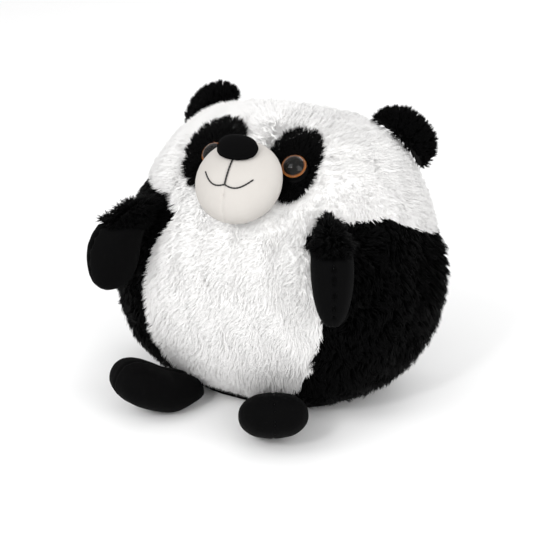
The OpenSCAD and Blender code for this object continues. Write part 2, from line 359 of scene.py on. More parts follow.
@dataclass(frozen=True)
class MouldedFinish:
    """Moulded plastic, with a fine ripple in its gloss."""

    name: str
    colour: Colour
    haze: Colour
    roughness: float
    transmission: float = 0.0
    specular: float = 0.5
    ior: float = 1.47

    def material(self) -> bpy.types.Material:
        """Builds the material.

        Returns:
            The material.
        """
        graph = Graph(
            self.name, IOR=self.ior, Transmission_Weight=self.transmission,
            Specular_IOR_Level=self.specular,
        )
        ripple = graph.noise(240.0, 2.0)
        graph.feed(graph.shader.inputs["Roughness"], ripple * 0.02 + self.roughness)
        return graph.paint(graph.blend(ripple, self.colour, self.haze))


@dataclass(frozen=True)
class IrisFinish:
    """Amber paint in a ring, brightest near its outer edge, with fine streaks."""

    name: str
    centre: tuple[float, float, float]
    inner: float
    outer: float
    deep: Colour = (0.035, 0.009, 0.002)
    bright: Colour = (0.5, 0.165, 0.025)

    def material(self) -> bpy.types.Material:
        """Builds the material.

        Returns:
            The material.
        """
        graph = Graph(self.name, Coat_Roughness=0.05, Specular_IOR_Level=0.5)
        away = graph.node(
            "ShaderNodeVectorMath",
            {"operation": "DISTANCE"},
            {0: graph.place(), 1: self.centre},
        )
        span = self.outer - self.inner
        ring = (Value(graph, away.outputs["Value"]) - self.inner) * (1 / span)
        streak = graph.noise(900.0, 3.0)
        graph.feed(graph.shader.inputs["Roughness"], streak * 0.15 + 0.25)
        return graph.paint(graph.blend(ring * 0.9 + streak * 0.35, self.deep, self.bright))


class Palette:
    """The panda's finishes, each made once."""

    def __init__(self) -> None:
        """Builds every material."""
        # The fur's darker root colours are painted shade deep in the pile.
        self.white_fur = FurFinish(
            "white_fur", (0.975, 0.967, 0.957), (0.986, 0.979, 0.971), (0.98, 0.973, 0.963)
        ).material()
        self.black_fur = FurFinish(
            "black_fur",
            root=(0.0005, 0.0005, 0.0005),
            tip=(0.0018, 0.0018, 0.0019),
            shade=(0.0009, 0.0009, 0.001),
            roughness=0.5,
            sheen=0.002,
            specular=0.035,
        ).material()
        self.white_cloth = ClothFinish(
            "white_knit", (0.90, 0.893, 0.88), (0.94, 0.935, 0.925), sheen=0.1
        ).material()
        self.black_cloth = ClothFinish(
            "black_knit", (0.003, 0.003, 0.003), (0.008, 0.008, 0.008), sheen=0.05
        ).material()
        self.black_velour = ClothFinish(
            "black_velour", (0.0007, 0.0007, 0.0008), (0.0014, 0.0014, 0.0015), sheen=0.0025
        ).material()
        self.cream_velour = ClothFinish(
            "cream_velour", (0.468, 0.444, 0.418), (0.512, 0.49, 0.464), sheen=0.05
        ).material()
        self.filling = ClothFinish(
            "fibre_filling", (0.72, 0.71, 0.69), (0.88, 0.88, 0.86), 2.0 * MM, 0.8 * MM, 0.2
        ).material()
        self.thread = ThreadFinish(
            "black_thread", (0.004, 0.004, 0.004), (0.014, 0.014, 0.014)
        ).material()
        self.ribbon = RibbonFinish("satin_ribbon", (0.86, 0.86, 0.85), (0.7, 0.7, 0.7)).material()
        self.eye_black = MouldedFinish(
            "eye_black", (0.003, 0.003, 0.003), (0.005, 0.004, 0.004), 0.5, specular=0.05
        ).material()
        self.eye_clear = MouldedFinish(
            "eye_clear", (1.0, 0.97, 0.92), (0.98, 0.95, 0.9), 0.0, 1.0, ior=1.28
        ).material()
        self.washer = MouldedFinish(
            "washer_plastic", (0.8, 0.8, 0.79), (0.7, 0.7, 0.69), 0.35
        ).material()


# ---------------------------------------------------------------- mesh tools


def activate(thing: bpy.types.Object) -> None:
    """Makes one object the only selected and active one.

    Args:
        thing: The object.
    """
    if bpy.context.object and bpy.context.object.mode != "OBJECT":
        bpy.ops.object.mode_set(mode="OBJECT")
    bpy.ops.object.select_all(action="DESELECT")
    thing.select_set(True)
    bpy.context.view_layer.objects.active = thing


@contextmanager
def editing(thing: bpy.types.Object, action: str | None = "SELECT") -> Iterator[None]:
    """Holds one object in edit mode.

    Args:
        thing: The object.
        action: What is first done with the whole selection, or None to leave it.

    Yields:
        Nothing.
    """
    activate(thing)
    bpy.ops.object.mode_set(mode="EDIT")
    if action:
        bpy.ops.mesh.select_all(action=action)
    yield
    bpy.ops.object.mode_set(mode="OBJECT")


def choose(thing: bpy.types.Object, wanted: np.ndarray) -> None:
    """Selects some faces of a mesh, and nothing else.

    Args:
        thing: The object.
        wanted: For each face, whether it is selected.
    """
    with editing(thing, "DESELECT"):
        bpy.ops.mesh.select_mode(type="FACE")
    thing.data.polygons.foreach_set("select", wanted)


def eased(share: np.ndarray) -> np.ndarray:
    """A share kept from 0 to 1, with a soft start and end."""
    share = np.clip(share, 0, 1)
    return share * share * (3 - 2 * share)


def applied(thing: bpy.types.Object, kind: str, **settings: Any) -> None:
    """Adds a modifier and applies it.

    Args:
        thing: The object.
        kind: The modifier's type.
        **settings: Its properties.
    """
    modifier = thing.modifiers.new(kind.title(), kind)
    for key, value in settings.items():
        setattr(modifier, key, value)
    activate(thing)
    bpy.ops.object.modifier_apply(modifier=modifier.name)


def places(thing: bpy.types.Object) -> np.ndarray:
    """A mesh's vertices as rows of three numbers.

    Args:
        thing: The object.

    Returns:
        One row for each vertex.
    """
    flat = np.empty(len(thing.data.vertices) * 3)
    thing.data.vertices.foreach_get("co", flat)
    return flat.reshape(-1, 3)


def normals(thing: bpy.types.Object) -> np.ndarray:
    """A mesh's vertex normals as rows of three numbers.

    Args:
        thing: The object.

    Returns:
        One row for each vertex.
    """
    flat = np.empty(len(thing.data.vertices) * 3)
    thing.data.vertices.foreach_get("normal", flat)
    return flat.reshape(-1, 3)


def put(thing: bpy.types.Object, points: np.ndarray) -> None:
    """Moves a mesh's vertices to new places."""
    thing.data.vertices.foreach_set("co", points.astype(np.float32).ravel())
    thing.data.update()


def copied(thing: bpy.types.Object, name: str) -> bpy.types.Object:
    """A copy of an object with a mesh of its own.

    Args:
        thing: The object.
        name: The copy's name.

    Returns:
        The copy.
    """
    twin = bpy.data.objects.new(name, thing.data.copy())
    twin.data.name = name
    bpy.context.collection.objects.link(twin)
    return twin


def mesh_object(
    name: str, points: np.ndarray, triangles: np.ndarray, uv: np.ndarray | None = None
) -> bpy.types.Object:
    """Makes a mesh object of triangles.

    Args:
        name: The object's name.
        points: Vertices.
        triangles: Rows of three vertex numbers.
        uv: The map's place of each vertex.

    Returns:
        The object.
    """
    mesh = bpy.data.meshes.new(name)
    mesh.vertices.add(len(points))
    mesh.vertices.foreach_set("co", points.astype(np.float32).ravel())
    mesh.loops.add(triangles.size)
    mesh.loops.foreach_set("vertex_index", triangles.astype(np.int32).ravel())
    mesh.polygons.add(len(triangles))
    mesh.polygons.foreach_set("loop_start", np.arange(0, triangles.size, 3, dtype=np.int32))
    mesh.update(calc_edges=True)
    mesh.polygons.foreach_set("use_smooth", np.ones(len(triangles), bool))
    if uv is not None:
        layer = mesh.uv_layers.new(name="OFBake")
        layer.data.foreach_set("uv", uv[triangles.ravel()].astype(np.float32).ravel())
    made = bpy.data.objects.new(name, mesh)
    bpy.context.collection.objects.link(made)
    return made


def gathered(name: str, nodes: Sequence[str]) -> bpy.types.Object:
    """Copies CAD nodes into one new object, with their loose triangles merged.

    Args:
        name: The new object's name.
        nodes: The nodes' names.

    Returns:
        The new object.
    """
    copies = [copied(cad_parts[node], name) for node in nodes]
    activate(copies[0])
    for extra in copies[1:]:
        extra.select_set(True)
    if len(copies) > 1:
        bpy.ops.object.join()
    made = bpy.context.view_layer.objects.active
    made.name = name
    made.data.materials.clear()
    with editing(made):
        bpy.ops.mesh.remove_doubles(threshold=0.01 * MM)
    return made


def largest_only(thing: bpy.types.Object) -> bpy.types.Object:
    """Drops bubbles that a remesh leaves inside a form.

    Args:
        thing: The remeshed object.

    Returns:
        The object that holds the largest loose part.
    """
    name = thing.name
    activate(thing)
    bpy.ops.mesh.separate(type="LOOSE")
    parts = sorted(bpy.context.selected_objects, key=lambda o: len(o.data.vertices))
    for scrap in parts[:-1]:
        bpy.data.objects.remove(scrap)
    parts[-1].name = name
    return parts[-1]


def puffed(thing: bpy.types.Object, cap: float) -> None:
    """Blows a closed form up with cloth under pressure, and caps how far it swells.

    Args:
        thing: The form.
        cap: The furthest that a point may move.
    """
    start = places(thing)
    cloth = thing.modifiers.new("Cloth", "CLOTH")
    cloth.settings.use_pressure = True
    cloth.settings.uniform_pressure_force = CLOTH_PRESSURE
    cloth.settings.quality = 4
    cloth.settings.effector_weights.gravity = 0.0
    cloth.point_cache.frame_start, cloth.point_cache.frame_end = 1, CLOTH_STEPS
    for step in range(1, CLOTH_STEPS + 1):
        bpy.context.scene.frame_set(step)
    shaped = thing.evaluated_get(bpy.context.evaluated_depsgraph_get())
    moved = np.empty(len(start) * 3)
    shaped.data.vertices.foreach_get("co", moved)
    shift = moved.reshape(-1, 3) - start
    far = np.linalg.norm(shift, axis=1, keepdims=True)
    thing.modifiers.remove(cloth)
    bpy.context.scene.frame_set(1)
    put(thing, start + shift * cap * np.tanh(far / cap) / np.maximum(far, 1e-9))


@dataclass
class SoftForm:
    """A padded form made from CAD solids: remeshed, shrunk, puffed and smoothed."""

    name: str
    nodes: Sequence[str]
    voxel: float
    shrink: float
    cap: float
    smooth: int = 3
    refine: int = 1

    def build(self) -> bpy.types.Object:
        """Makes the form.

        Returns:
            The object.
        """
        form = gathered(self.name, self.nodes)
        form.data.remesh_voxel_size = self.voxel
        activate(form)
        bpy.ops.object.voxel_remesh()
        form = largest_only(form)
        put(form, places(form) - normals(form) * self.shrink)
        applied(form, "SMOOTH", factor=0.5, iterations=self.smooth)
        puffed(form, self.cap)
        if self.refine:
            applied(form, "SUBSURF", levels=self.refine, render_levels=self.refine)
        activate(form)
        bpy.ops.object.shade_smooth()
        return form


def cut(
    thing: bpy.types.Object, point: Sequence[float], normal: Sequence[float], name: str
) -> bpy.types.Object:
    """The part of a form that lies on the side of a plane its normal points to.

    Args:
        thing: The form, which stays whole.
        point: A point of the plane.
        normal: The plane's normal.
        name: The new piece's name.

    Returns:
        The new, open piece.
    """
    half = copied(thing, name)
    with editing(half):
        bpy.ops.mesh.bisect(plane_co=point, plane_no=normal, clear_inner=True)
        bpy.ops.mesh.select_all(action="SELECT")
        bpy.ops.mesh.remove_doubles(threshold=WELD)
    return half


def scored(
    thing: bpy.types.Object, point: Sequence[float], normal: Sequence[float], width: float
) -> None:
    """Gives a form edge loops along a seam, so that its valley comes out even.

    Args:
        thing: The form.
        point: A point of the seam's plane.
        normal: The plane's normal.
        width: How far the valley reaches.
    """
    with editing(thing):
        for step in SEAM_STEPS:
            at = np.array(point) + np.array(normal) * step * width
            bpy.ops.mesh.select_all(action="SELECT")
            bpy.ops.mesh.bisect(plane_co=at, plane_no=normal)


def walled(thing: bpy.types.Object, thickness: float) -> None:
    """Gives an open cloth piece its thickness, inwards, and smooth faces.

    Args:
        thing: The cloth piece.
        thickness: How thick it becomes.
    """
    applied(thing, "SOLIDIFY", thickness=thickness, offset=-1.0, use_rim=True)
    activate(thing)
    bpy.ops.object.shade_smooth_by_angle(angle=math.radians(50))


def pinched(
    thing: bpy.types.Object, away: Field, depth: float, width: float
) -> None:
    """Draws a form in along a seam.

    Args:
        thing: The form.
        away: Gives each point's distance from the seam.
        depth: How deep the seam lies.
        width: How far its valley reaches.
    """
    points = places(thing)
    fall = np.exp(-((away(points) / width) ** 2))
    put(thing, points - normals(thing) * (fall * depth)[:, None])


def mirrored(thing: bpy.types.Object, name: str) -> bpy.types.Object:
    """A copy of a piece on the panda's other side, with its faces turned back out.

    Args:
        thing: The piece.
        name: The copy's name.

    Returns:
        The copy.
    """
    twin = copied(thing, name)
    put(twin, places(twin) * (-1, 1, 1))
    twin.data.flip_normals()
    return twin


def finish_piece(
    thing: bpy.types.Object,
    material: bpy.types.Material,
    body: str,
    stands_for: Sequence[str] = (),
    bend: np.ndarray | None = None,
) -> bpy.types.Object:
    """Dresses a piece, hangs it on its body, hides the CAD nodes that it replaces and logs its
    size.

    Args:
        thing: The finished mesh.
        material: Its material.
        body: The CAD body that it moves with.
        stands_for: The CAD nodes that it replaces.
        bend: Where it leaves the torso and where it joins the body, if it crosses a joint; only
            whether it is given is read, and such a piece is left unattached where it stands.

    Returns:
        The piece.
    """
    thing.data.materials.clear()
    thing.data.materials.append(material)
    if bend is None:
        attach(thing, body)
    else:
        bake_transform(thing)
    if stands_for:
        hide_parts(*stands_for)
    LOG.info("%s: %d faces", thing.name, len(thing.data.polygons))
    return thing


# ---------------------------------------------------------------- pile


def unit(rows: np.ndarray) -> np.ndarray:
    """Rows scaled to length 1."""
    return rows / np.maximum(np.linalg.norm(rows, axis=1, keepdims=True), 1e-12)


def drift(points: np.ndarray, size: float, phase: float) -> np.ndarray:
    """A slow, smooth wander over space, from about -1 to 1.

    Args:
        points: Where to read it.
        size: Its wavelength.
        phase: Which of its kind.

    Returns:
        One number for each point.
    """
    k = 2 * math.pi / size
    x, y, z = points.T
    return (
        np.sin(k * (x + 0.4 * z) + phase)
        + np.sin(k * (0.7 * y - 0.8 * z) + 2.1 * phase)
        + np.sin(k * (0.6 * x - y + 0.5 * z) * 1.7 + 3.7 * phase)
    ) / 2.2


@dataclass
class Pile:
    """Long pile of one panel: tapered hairs that lean with the comb and gather in locks."""

    length: float
    width: float
    spacing: float
    rise: float = 0.75
    wander: float = 0.5
    lock: float = 6.0 * MM
    gather: float = 0.35
    curved: bool = False
    most: int = 48000
    soft: float = 0.0
    seed: int = 1

    def roots(
        self, skin: bpy.types.Object, rng: np.random.Generator
    ) -> tuple[np.ndarray, np.ndarray]:
        """Scatters hairs over a piece of cloth.

        Args:
            skin: The open cloth piece.
            rng: The seeded source of chance.

        Returns:
            The roots and the normals there.
        """
        mesh = skin.data
        mesh.calc_loop_triangles()
        corner = np.empty(len(mesh.loop_triangles) * 3, np.int32)
        mesh.loop_triangles.foreach_get("vertices", corner)
        corner = corner.reshape(-1, 3)
        points, facing = places(skin), normals(skin)
        a, b, c = (points[corner[:, i]] for i in range(3))
        area = np.linalg.norm(np.cross(b - a, c - a), axis=1) / 2
        count = min(int(area.sum() / self.spacing**2), self.most)
        pick = rng.choice(len(corner), count, p=area / area.sum())
        u, v = rng.random(count), rng.random(count)
        over = u + v > 1
        u[over], v[over] = 1 - u[over], 1 - v[over]
        weight = np.stack([1 - u - v, u, v], 1)[:, :, None]
        return (
            (points[corner[pick]] * weight).sum(1),
            unit((facing[corner[pick]] * weight).sum(1)),
        )

    def grow(
        self,
        name: str,
        skin: bpy.types.Object,
        comb: Field,
        keep: Field | None = None,
        scale: Field | None = None,
    ) -> bpy.types.Object:
        """Grows the pile on a piece of cloth.

        Args:
            name: The new piece's name.
            skin: The open cloth piece.
            comb: The way that the pile is brushed at each point.
            keep: Says which roots keep their hair.
            scale: Each hair's share of the full length.

        Returns:
            The pile.
        """
        rng = np.random.default_rng(self.seed)
        root, up = self.roots(skin, rng)
        if keep is not None:
            stays = keep(root)
            root, up = root[stays], up[stays]
        n = len(root)
        way = unit(comb(root))
        way = way + self.wander * np.stack(
            [drift(root, 34 * MM, 1.0), drift(root, 27 * MM, 2.0), drift(root, 31 * MM, 3.0)], 1
        )
        way = way + rng.normal(0, 0.28, (n, 3))
        way = unit(way - up * (way * up).sum(1, keepdims=True))
        across = np.cross(up, way)
        size = self.length * rng.uniform(0.72, 1.12, n) * (1 + 0.14 * drift(root, 19 * MM, 5.0))
        if scale is not None:
            size = size * scale(root)
        lean = math.sqrt(1 - self.rise**2)
        tip = root + up * (size * self.rise)[:, None] + way * (size * lean)[:, None]
        tip = self.locked(root, tip, rng)
        tip[:, 2] = np.maximum(tip[:, 2], 0.4 * MM)
        thin = self.width * rng.uniform(0.75, 1.2, n)
        middle = (root + tip) / 2 + up * (size * 0.12)[:, None]
        rings = [(root - up * 0.6 * MM, 1.0)] + ([(middle, 0.72)] if self.curved else [])
        turns = [math.radians(a) for a in (90, 210, 330)]
        points = np.concatenate(
            [
                np.stack(
                    [
                        at
                        + (way * math.cos(t) + across * math.sin(t)) * (thin * share / 2)[:, None]
                        for t in turns
                    ],
                    1,
                )
                for at, share in rings
            ]
            + [tip[:, None]],
            1,
        )
        each = points.shape[1]
        last = each - 1
        local = [(0, 2, 1)]
        for ring in range(len(rings) - 1):
            for i in range(3):
                j = (i + 1) % 3
                low, high = 3 * ring, 3 * ring + 3
                local += [(low + i, low + j, high + j), (low + i, high + j, high + i)]
        top = last - 3
        local += [(top + i, top + (i + 1) % 3, last) for i in range(3)]
        triangles = np.array(local)[None] + (np.arange(n) * each)[:, None, None]
        tone = 0.5 + 0.22 * drift(root, 40 * MM, 7.0) + rng.normal(0, 0.16, n)
        tone = np.clip(tone, 0.03, 0.97)
        # the map runs up each hair, from its root with the painted shade to its tip
        along = [0.0] * 3 + ([0.5] * 3 if self.curved else []) + [1.0]
        spread = [-0.015, 0.015, 0.0] * len(rings) + [0.0]
        uv = np.stack(
            [tone[:, None] + np.array(spread), np.broadcast_to(np.array(along), (n, each))], 2
        )
        made = mesh_object(
            name, points.reshape(-1, 3), triangles.reshape(-1, 3), uv.reshape(-1, 2)
        )
        if self.soft:
            own = normals(made)
            under = np.repeat(up, each, axis=0)
            turned = unit(under * self.soft + own * (1 - self.soft))
            made.data.normals_split_custom_set_from_vertices(turned.tolist())
        return made

    def locked(
        self, root: np.ndarray, tip: np.ndarray, rng: np.random.Generator
    ) -> np.ndarray:
        """Draws the tips of neighbouring hairs together into locks.

        Args:
            root: The roots.
            tip: The tips.
            rng: The seeded source of chance.

        Returns:
            The drawn tips.
        """
        if self.gather <= 0 or len(root) < 50:
            return tip
        span = np.ptp(root, axis=0)
        area = span[0] * span[1] + span[1] * span[2] + span[0] * span[2]
        heads = rng.choice(len(root), min(len(root), max(int(area / self.lock**2), 8)), False)
        tree = KDTree(len(heads))
        for number, head in enumerate(heads):
            tree.insert(root[head], number)
        tree.balance()
        own = heads[[tree.find(point)[1] for point in root]]
        return tip + (tip[own] - tip) * self.gather * rng.uniform(0.5, 1.2, (len(tip), 1))


CURVED_MOST = 19500  # bent hairs have more faces, so fewer fit in one piece
WHITE_PILE = Pile(
    length=8.8 * MM, width=1.15 * MM, spacing=1.2 * MM, rise=0.78, wander=0.6, lock=6 * MM,
    gather=0.4, soft=0.8,
)
BLACK_PILE = Pile(
    length=13.5 * MM, width=1.6 * MM, spacing=1.7 * MM, rise=0.58, wander=0.8, lock=10 * MM,
    gather=0.62,
)
PATCH_PILE = Pile(
    length=11.5 * MM, width=1.15 * MM, spacing=0.72 * MM, rise=0.62, wander=0.35, lock=5 * MM,
    gather=0.42, curved=True, most=CURVED_MOST, seed=31,
)
SLEEVE_PILE = Pile(
    length=13.0 * MM, width=1.4 * MM, spacing=1.0 * MM, rise=0.55, wander=0.45, lock=7 * MM,
    gather=0.5, curved=True, most=9500, seed=41,
)
EAR_PILE = Pile(
    length=9.0 * MM, width=1.15 * MM, spacing=0.8 * MM, rise=0.6, wander=0.35, lock=5 * MM,
    gather=0.5, curved=True, most=9000,
)


# ---------------------------------------------------------------- body


@dataclass
class BodyShape:
    """The body's outer form at the tips of its pile, and the seams that divide it."""

    rx: float = 164 * MM
    ry: float = 117 * MM
    waist: float = 119 * MM
    crown: float = 145 * MM
    seat: float = 128 * MM
    lean: float = 0.153
    narrow: float = 0.29
    thin: float = 0.075
    plan: float = 2.36
    across: float = 4.1
    front: float = 2.15
    under: float = 2.7
    ear_turn: float = 112.0
    head_seam: tuple = ((0, 24), (26, 24), (40, 28), (68, 28.5), (84, 22), (100, 15), (180, 13))
    belly_seam: tuple = (
        (-70, 12), (-58, 20), (-48, 25), (-25, 32), (-5, 33.5), (10, 33), (24, 26)
    )
    flank_seam: tuple = ((-70, 62), (-2, 74), (8, 80), (18, 86), (30, 92))

    @staticmethod
    def fall(t: np.ndarray, m: float) -> np.ndarray:
        """The rounding that runs from 1 in the middle to 0 at the end."""
        return np.maximum(1 - np.minimum(np.abs(t), 1) ** m, 0) ** (1 / m)

    @staticmethod
    def power(v: np.ndarray, p: float) -> np.ndarray:
        """A power that keeps the sign."""
        return np.sign(v) * np.abs(v) ** p

    def radii(self, s: np.ndarray) -> tuple[np.ndarray, np.ndarray]:
        """Half width and half depth at a level.

        Args:
            s: The level's sine, above 0 over the waist.

        Returns:
            Half width and half depth.
        """
        up = np.maximum(s, 0)
        side = np.where(s > 0, self.fall(s, self.across), self.fall(s, self.under))
        deep = np.where(s > 0, self.fall(s, self.front), self.fall(s, self.under))
        return self.rx * (1 - self.narrow * up) * side, self.ry * (1 - self.thin * up) * deep

    def at(self, turn: Any, lift: Any, off: float = 0.0) -> np.ndarray:
        """A point of the form.

        Args:
            turn: Degrees from the front towards +X.
            lift: Degrees above the waist.
            off: Distance outside the form.

        Returns:
            Rows of points.
        """
        turn, lift = np.broadcast_arrays(np.radians(turn), np.radians(lift))
        s = np.sin(lift)
        z = self.waist + np.where(s > 0, self.crown, self.seat) * s
        rx, ry = self.radii(s)
        point = np.stack(
            [
                (rx + off) * self.power(np.sin(turn), 2 / self.plan),
                self.lean * (z - self.waist)
                - (ry + off) * self.power(np.cos(turn), 2 / self.plan),
                z + off * s,
            ],
            -1,
        )
        return point.reshape(-1, 3)

    def read(self, points: np.ndarray) -> tuple[np.ndarray, np.ndarray]:
        """Turn and lift of points near the form, in degrees.

        Args:
            points: Rows of points.

        Returns:
            Turns from -180 to 180, and lifts.
        """
        rise = points[:, 2] - self.waist
        s = np.clip(rise / np.where(rise > 0, self.crown, self.seat), -0.999, 0.999)
        rx, ry = self.radii(s)
        side = self.power(points[:, 0] / np.maximum(rx, 1e-4), self.plan / 2)
        ahead = self.power((self.lean * rise - points[:, 1]) / np.maximum(ry, 1e-4), self.plan / 2)
        return np.degrees(np.arctan2(side, ahead)), np.degrees(np.arcsin(s))

    def front_y(self, x: Any, z: Any) -> np.ndarray:
        """How far forward the form reaches at a place across and a height.

        Args:
            x: The place across.
            z: The height.

        Returns:
            The place along Y.
        """
        s = (np.asarray(z) - self.waist) / self.crown
        rx, ry = self.radii(s)
        return self.lean * (z - self.waist) - ry * self.fall(np.asarray(x) / rx, self.plan)

    def front_normal(self, x: float, z: float) -> np.ndarray:
        """The way that the front faces at a place across and a height.

        Args:
            x: The place across.
            z: The height.

        Returns:
            The direction.
        """
        d = 0.5 * MM
        slope_x = (self.front_y(x + d, z) - self.front_y(x - d, z)) / (2 * d)
        slope_z = (self.front_y(x, z + d) - self.front_y(x, z - d)) / (2 * d)
        v = np.array([float(slope_x), -1.0, float(slope_z)])
        return v / np.linalg.norm(v)

    def panel_of(self, points: np.ndarray) -> np.ndarray:
        """The number of the panel that each point lies on, as Panel gives them.

        Args:
            points: Rows of three numbers.

        Returns:
            A panel's number for each point.
        """
        turn, lift = self.read(points)
        t = np.abs(turn)
        head = lift > np.interp(t, *zip(*self.head_seam))
        belly = t < np.interp(lift, *zip(*self.belly_seam))
        flank = t < np.interp(lift, *zip(*self.flank_seam))
        low = np.where(belly, 2, np.where(flank, np.where(turn > 0, 3, 4), 5))
        return np.where(head, np.where(t < self.ear_turn, 0, 1), low)

    def seam_lines(self) -> np.ndarray:
        """Points close together along every seam of the cover.

        Returns:
            Rows of three numbers.
        """
        t = np.linspace(-180, 180, 900)
        lines = [self.at(t, np.interp(np.abs(t), *zip(*self.head_seam)))]
        low = np.linspace(-68, 24, 260)
        high = np.linspace(14, 90, 220)
        for sign in (-1, 1):
            lines.append(self.at(sign * np.interp(low, *zip(*self.belly_seam)), low))
            flank = np.linspace(-68, 19, 260)
            lines.append(self.at(sign * np.interp(flank, *zip(*self.flank_seam)), flank))
            lines.append(self.at(np.full_like(high, sign * self.ear_turn), high))
        return np.concatenate(lines)


def nearness(lines: np.ndarray) -> Field:
    """Makes a function that gives each point's distance from a set of points.

    Args:
        lines: The set.

    Returns:
        The function.
    """
    tree = KDTree(len(lines))
    for number, point in enumerate(lines):
        tree.insert(point, number)
    tree.balance()
    return lambda points: np.array([tree.find(point)[2] for point in points])


class Panel(Enum):
    """The cover's panels: number, node and finish."""

    FACE = (0, "face_panel", "white")
    HEAD_BACK = (1, "head_back_panel", "white")
    BELLY = (2, "belly_panel", "white")
    SIDE_LEFT = (3, "side_panel_left", "black")
    SIDE_RIGHT = (4, "side_panel_right", "black")
    BACK = (5, "back_panel", "black")


@dataclass
class Muzzle:
    """The padded muzzle with its seam, its nose and its stitched smile."""

    rx: float = 46 * MM
    rz: float = 41 * MM
    out: float = 27 * MM
    neck: float = 15 * MM
    height: float = 216 * MM
    tilt: float = 38.0
    nose_up: float = 27 * MM
    nose_rz: float = 12.5 * MM
    smile_w: float = 26 * MM
    smile_low: float = -13.5 * MM
    smile_rise: float = 11 * MM
    smile_turn: float = 4 * MM
    thread: float = 0.75 * MM
    slim: float = 0.94
    shape: BodyShape = field(default_factory=BodyShape)

    def __post_init__(self) -> None:
        """Works out the muzzle's own axes."""
        t = math.radians(self.tilt)
        self.middle = np.array(
            [0, float(self.shape.front_y(0.0, self.height)) - 9 * MM, self.height]
        )
        self.axis = np.array([0, -math.cos(t), math.sin(t)])
        self.upward = np.array([0, math.sin(t), math.cos(t)])

    def depth_in(self, points: np.ndarray) -> np.ndarray:
        """Below 1 inside the muzzle's form and above 1 outside it.

        Args:
            points: Rows of three numbers.

        Returns:
            One number for each point.
        """
        d = points - self.middle
        a = d @ self.axis
        a = a / np.where(a > 0, self.out, self.neck)
        return np.sqrt((d[:, 0] / self.rx) ** 2 + (d @ self.upward / self.rz) ** 2 + a**2)

    def mapped(self, across: Any, up: Any, off: float) -> np.ndarray:
        """A place on the muzzle, given by its distances across and up from the tip.

        Args:
            across: Distances across.
            up: Distances up.
            off: Distance off the surface.

        Returns:
            Rows of points.
        """
        across, up = np.broadcast_arrays(across, up)
        lift = math.pi / 2 - np.hypot(across, up) / self.rx
        turn = np.arctan2(up, across)
        return (
            self.middle
            + np.outer((self.rx + off) * np.cos(lift) * np.cos(turn), [1, 0, 0])
            + np.outer((self.rz + off) * np.cos(lift) * np.sin(turn), self.upward)
            + np.outer((self.out + off) * np.sin(lift), self.axis)
        )

    def build(self, palette: Palette) -> None:
        """Makes the muzzle's pieces.

        Args:
            palette: The finishes.
        """
        filling = SoftForm("muzzle_filling", ["muzzle_stuffing"], 3 * MM, 2.8 * MM, 0.5 * MM)
        inside = filling.build()
        put(inside, places(inside) * (self.slim, 1, 1))
        finish_piece(inside, palette.filling, "torso", ["muzzle_stuffing"])
        nodes = ["muzzle_cover_left", "muzzle_cover_right", "muzzle_stuffing"]
        form = SoftForm("muzzle_form", nodes, 2.2 * MM, 1.9 * MM, 0.9 * MM).build()
        points = places(form) * (self.slim, 1, 1)
        behind = np.maximum(-(points - self.middle) @ self.axis, 0)
        below = np.clip((12 * MM - (points - self.middle) @ self.upward) / (24 * MM), 0, 1)
        put(form, points - np.outer(behind * below * 0.6, self.axis))
        tree = BVHTree.FromObject(form, bpy.context.evaluated_depsgraph_get())
        scored(form, (0, 0, 0), (1, 0, 0), 1.5 * MM)
        pinched(form, lambda p: np.abs(p[:, 0]), 0.6 * MM, 1.5 * MM)
        for side in Side:
            half = cut(form, (0, 0, 0), (side.value, 0, 0), f"muzzle_{side.word}")
            walled(half, 1.6 * MM)
            node = f"muzzle_cover_{side.word}"
            finish_piece(half, palette.cream_velour, "torso", [node])
        bpy.data.objects.remove(form)
        nose = SoftForm("nose_pad", ["nose"], 1.1 * MM, -0.3 * MM, 0.7 * MM, smooth=3).build()
        points = places(nose)
        rise = (points - points.mean(0)) @ self.upward
        put(nose, points + np.outer(rise * 0.16, self.upward))
        finish_piece(nose, palette.black_velour, "torso", ["nose"])
        self.stitch_smile(tree, palette)

    def stitch_smile(self, tree: BVHTree, palette: Palette) -> None:
        """Lays two plies of thread along the mouth.

        Args:
            tree: The muzzle's surface.
            palette: The finishes.
        """
        across = np.linspace(-self.smile_w, self.smile_w, 110)
        bend = np.abs(across) / self.smile_w
        up = self.smile_low + self.smile_rise * bend**2 - self.smile_turn * np.sin(np.pi * bend)
        line = np.linspace(self.smile_low, self.nose_up - self.nose_rz - 1 * MM, 60)
        paths = [self.mapped(across, up, 0.0), self.mapped(np.zeros_like(line), line, 0.0)]
        thread = threads("mouth_thread", paths, self.thread, tree)
        finish_piece(thread, palette.thread, "torso", ["mouth_stitch"])


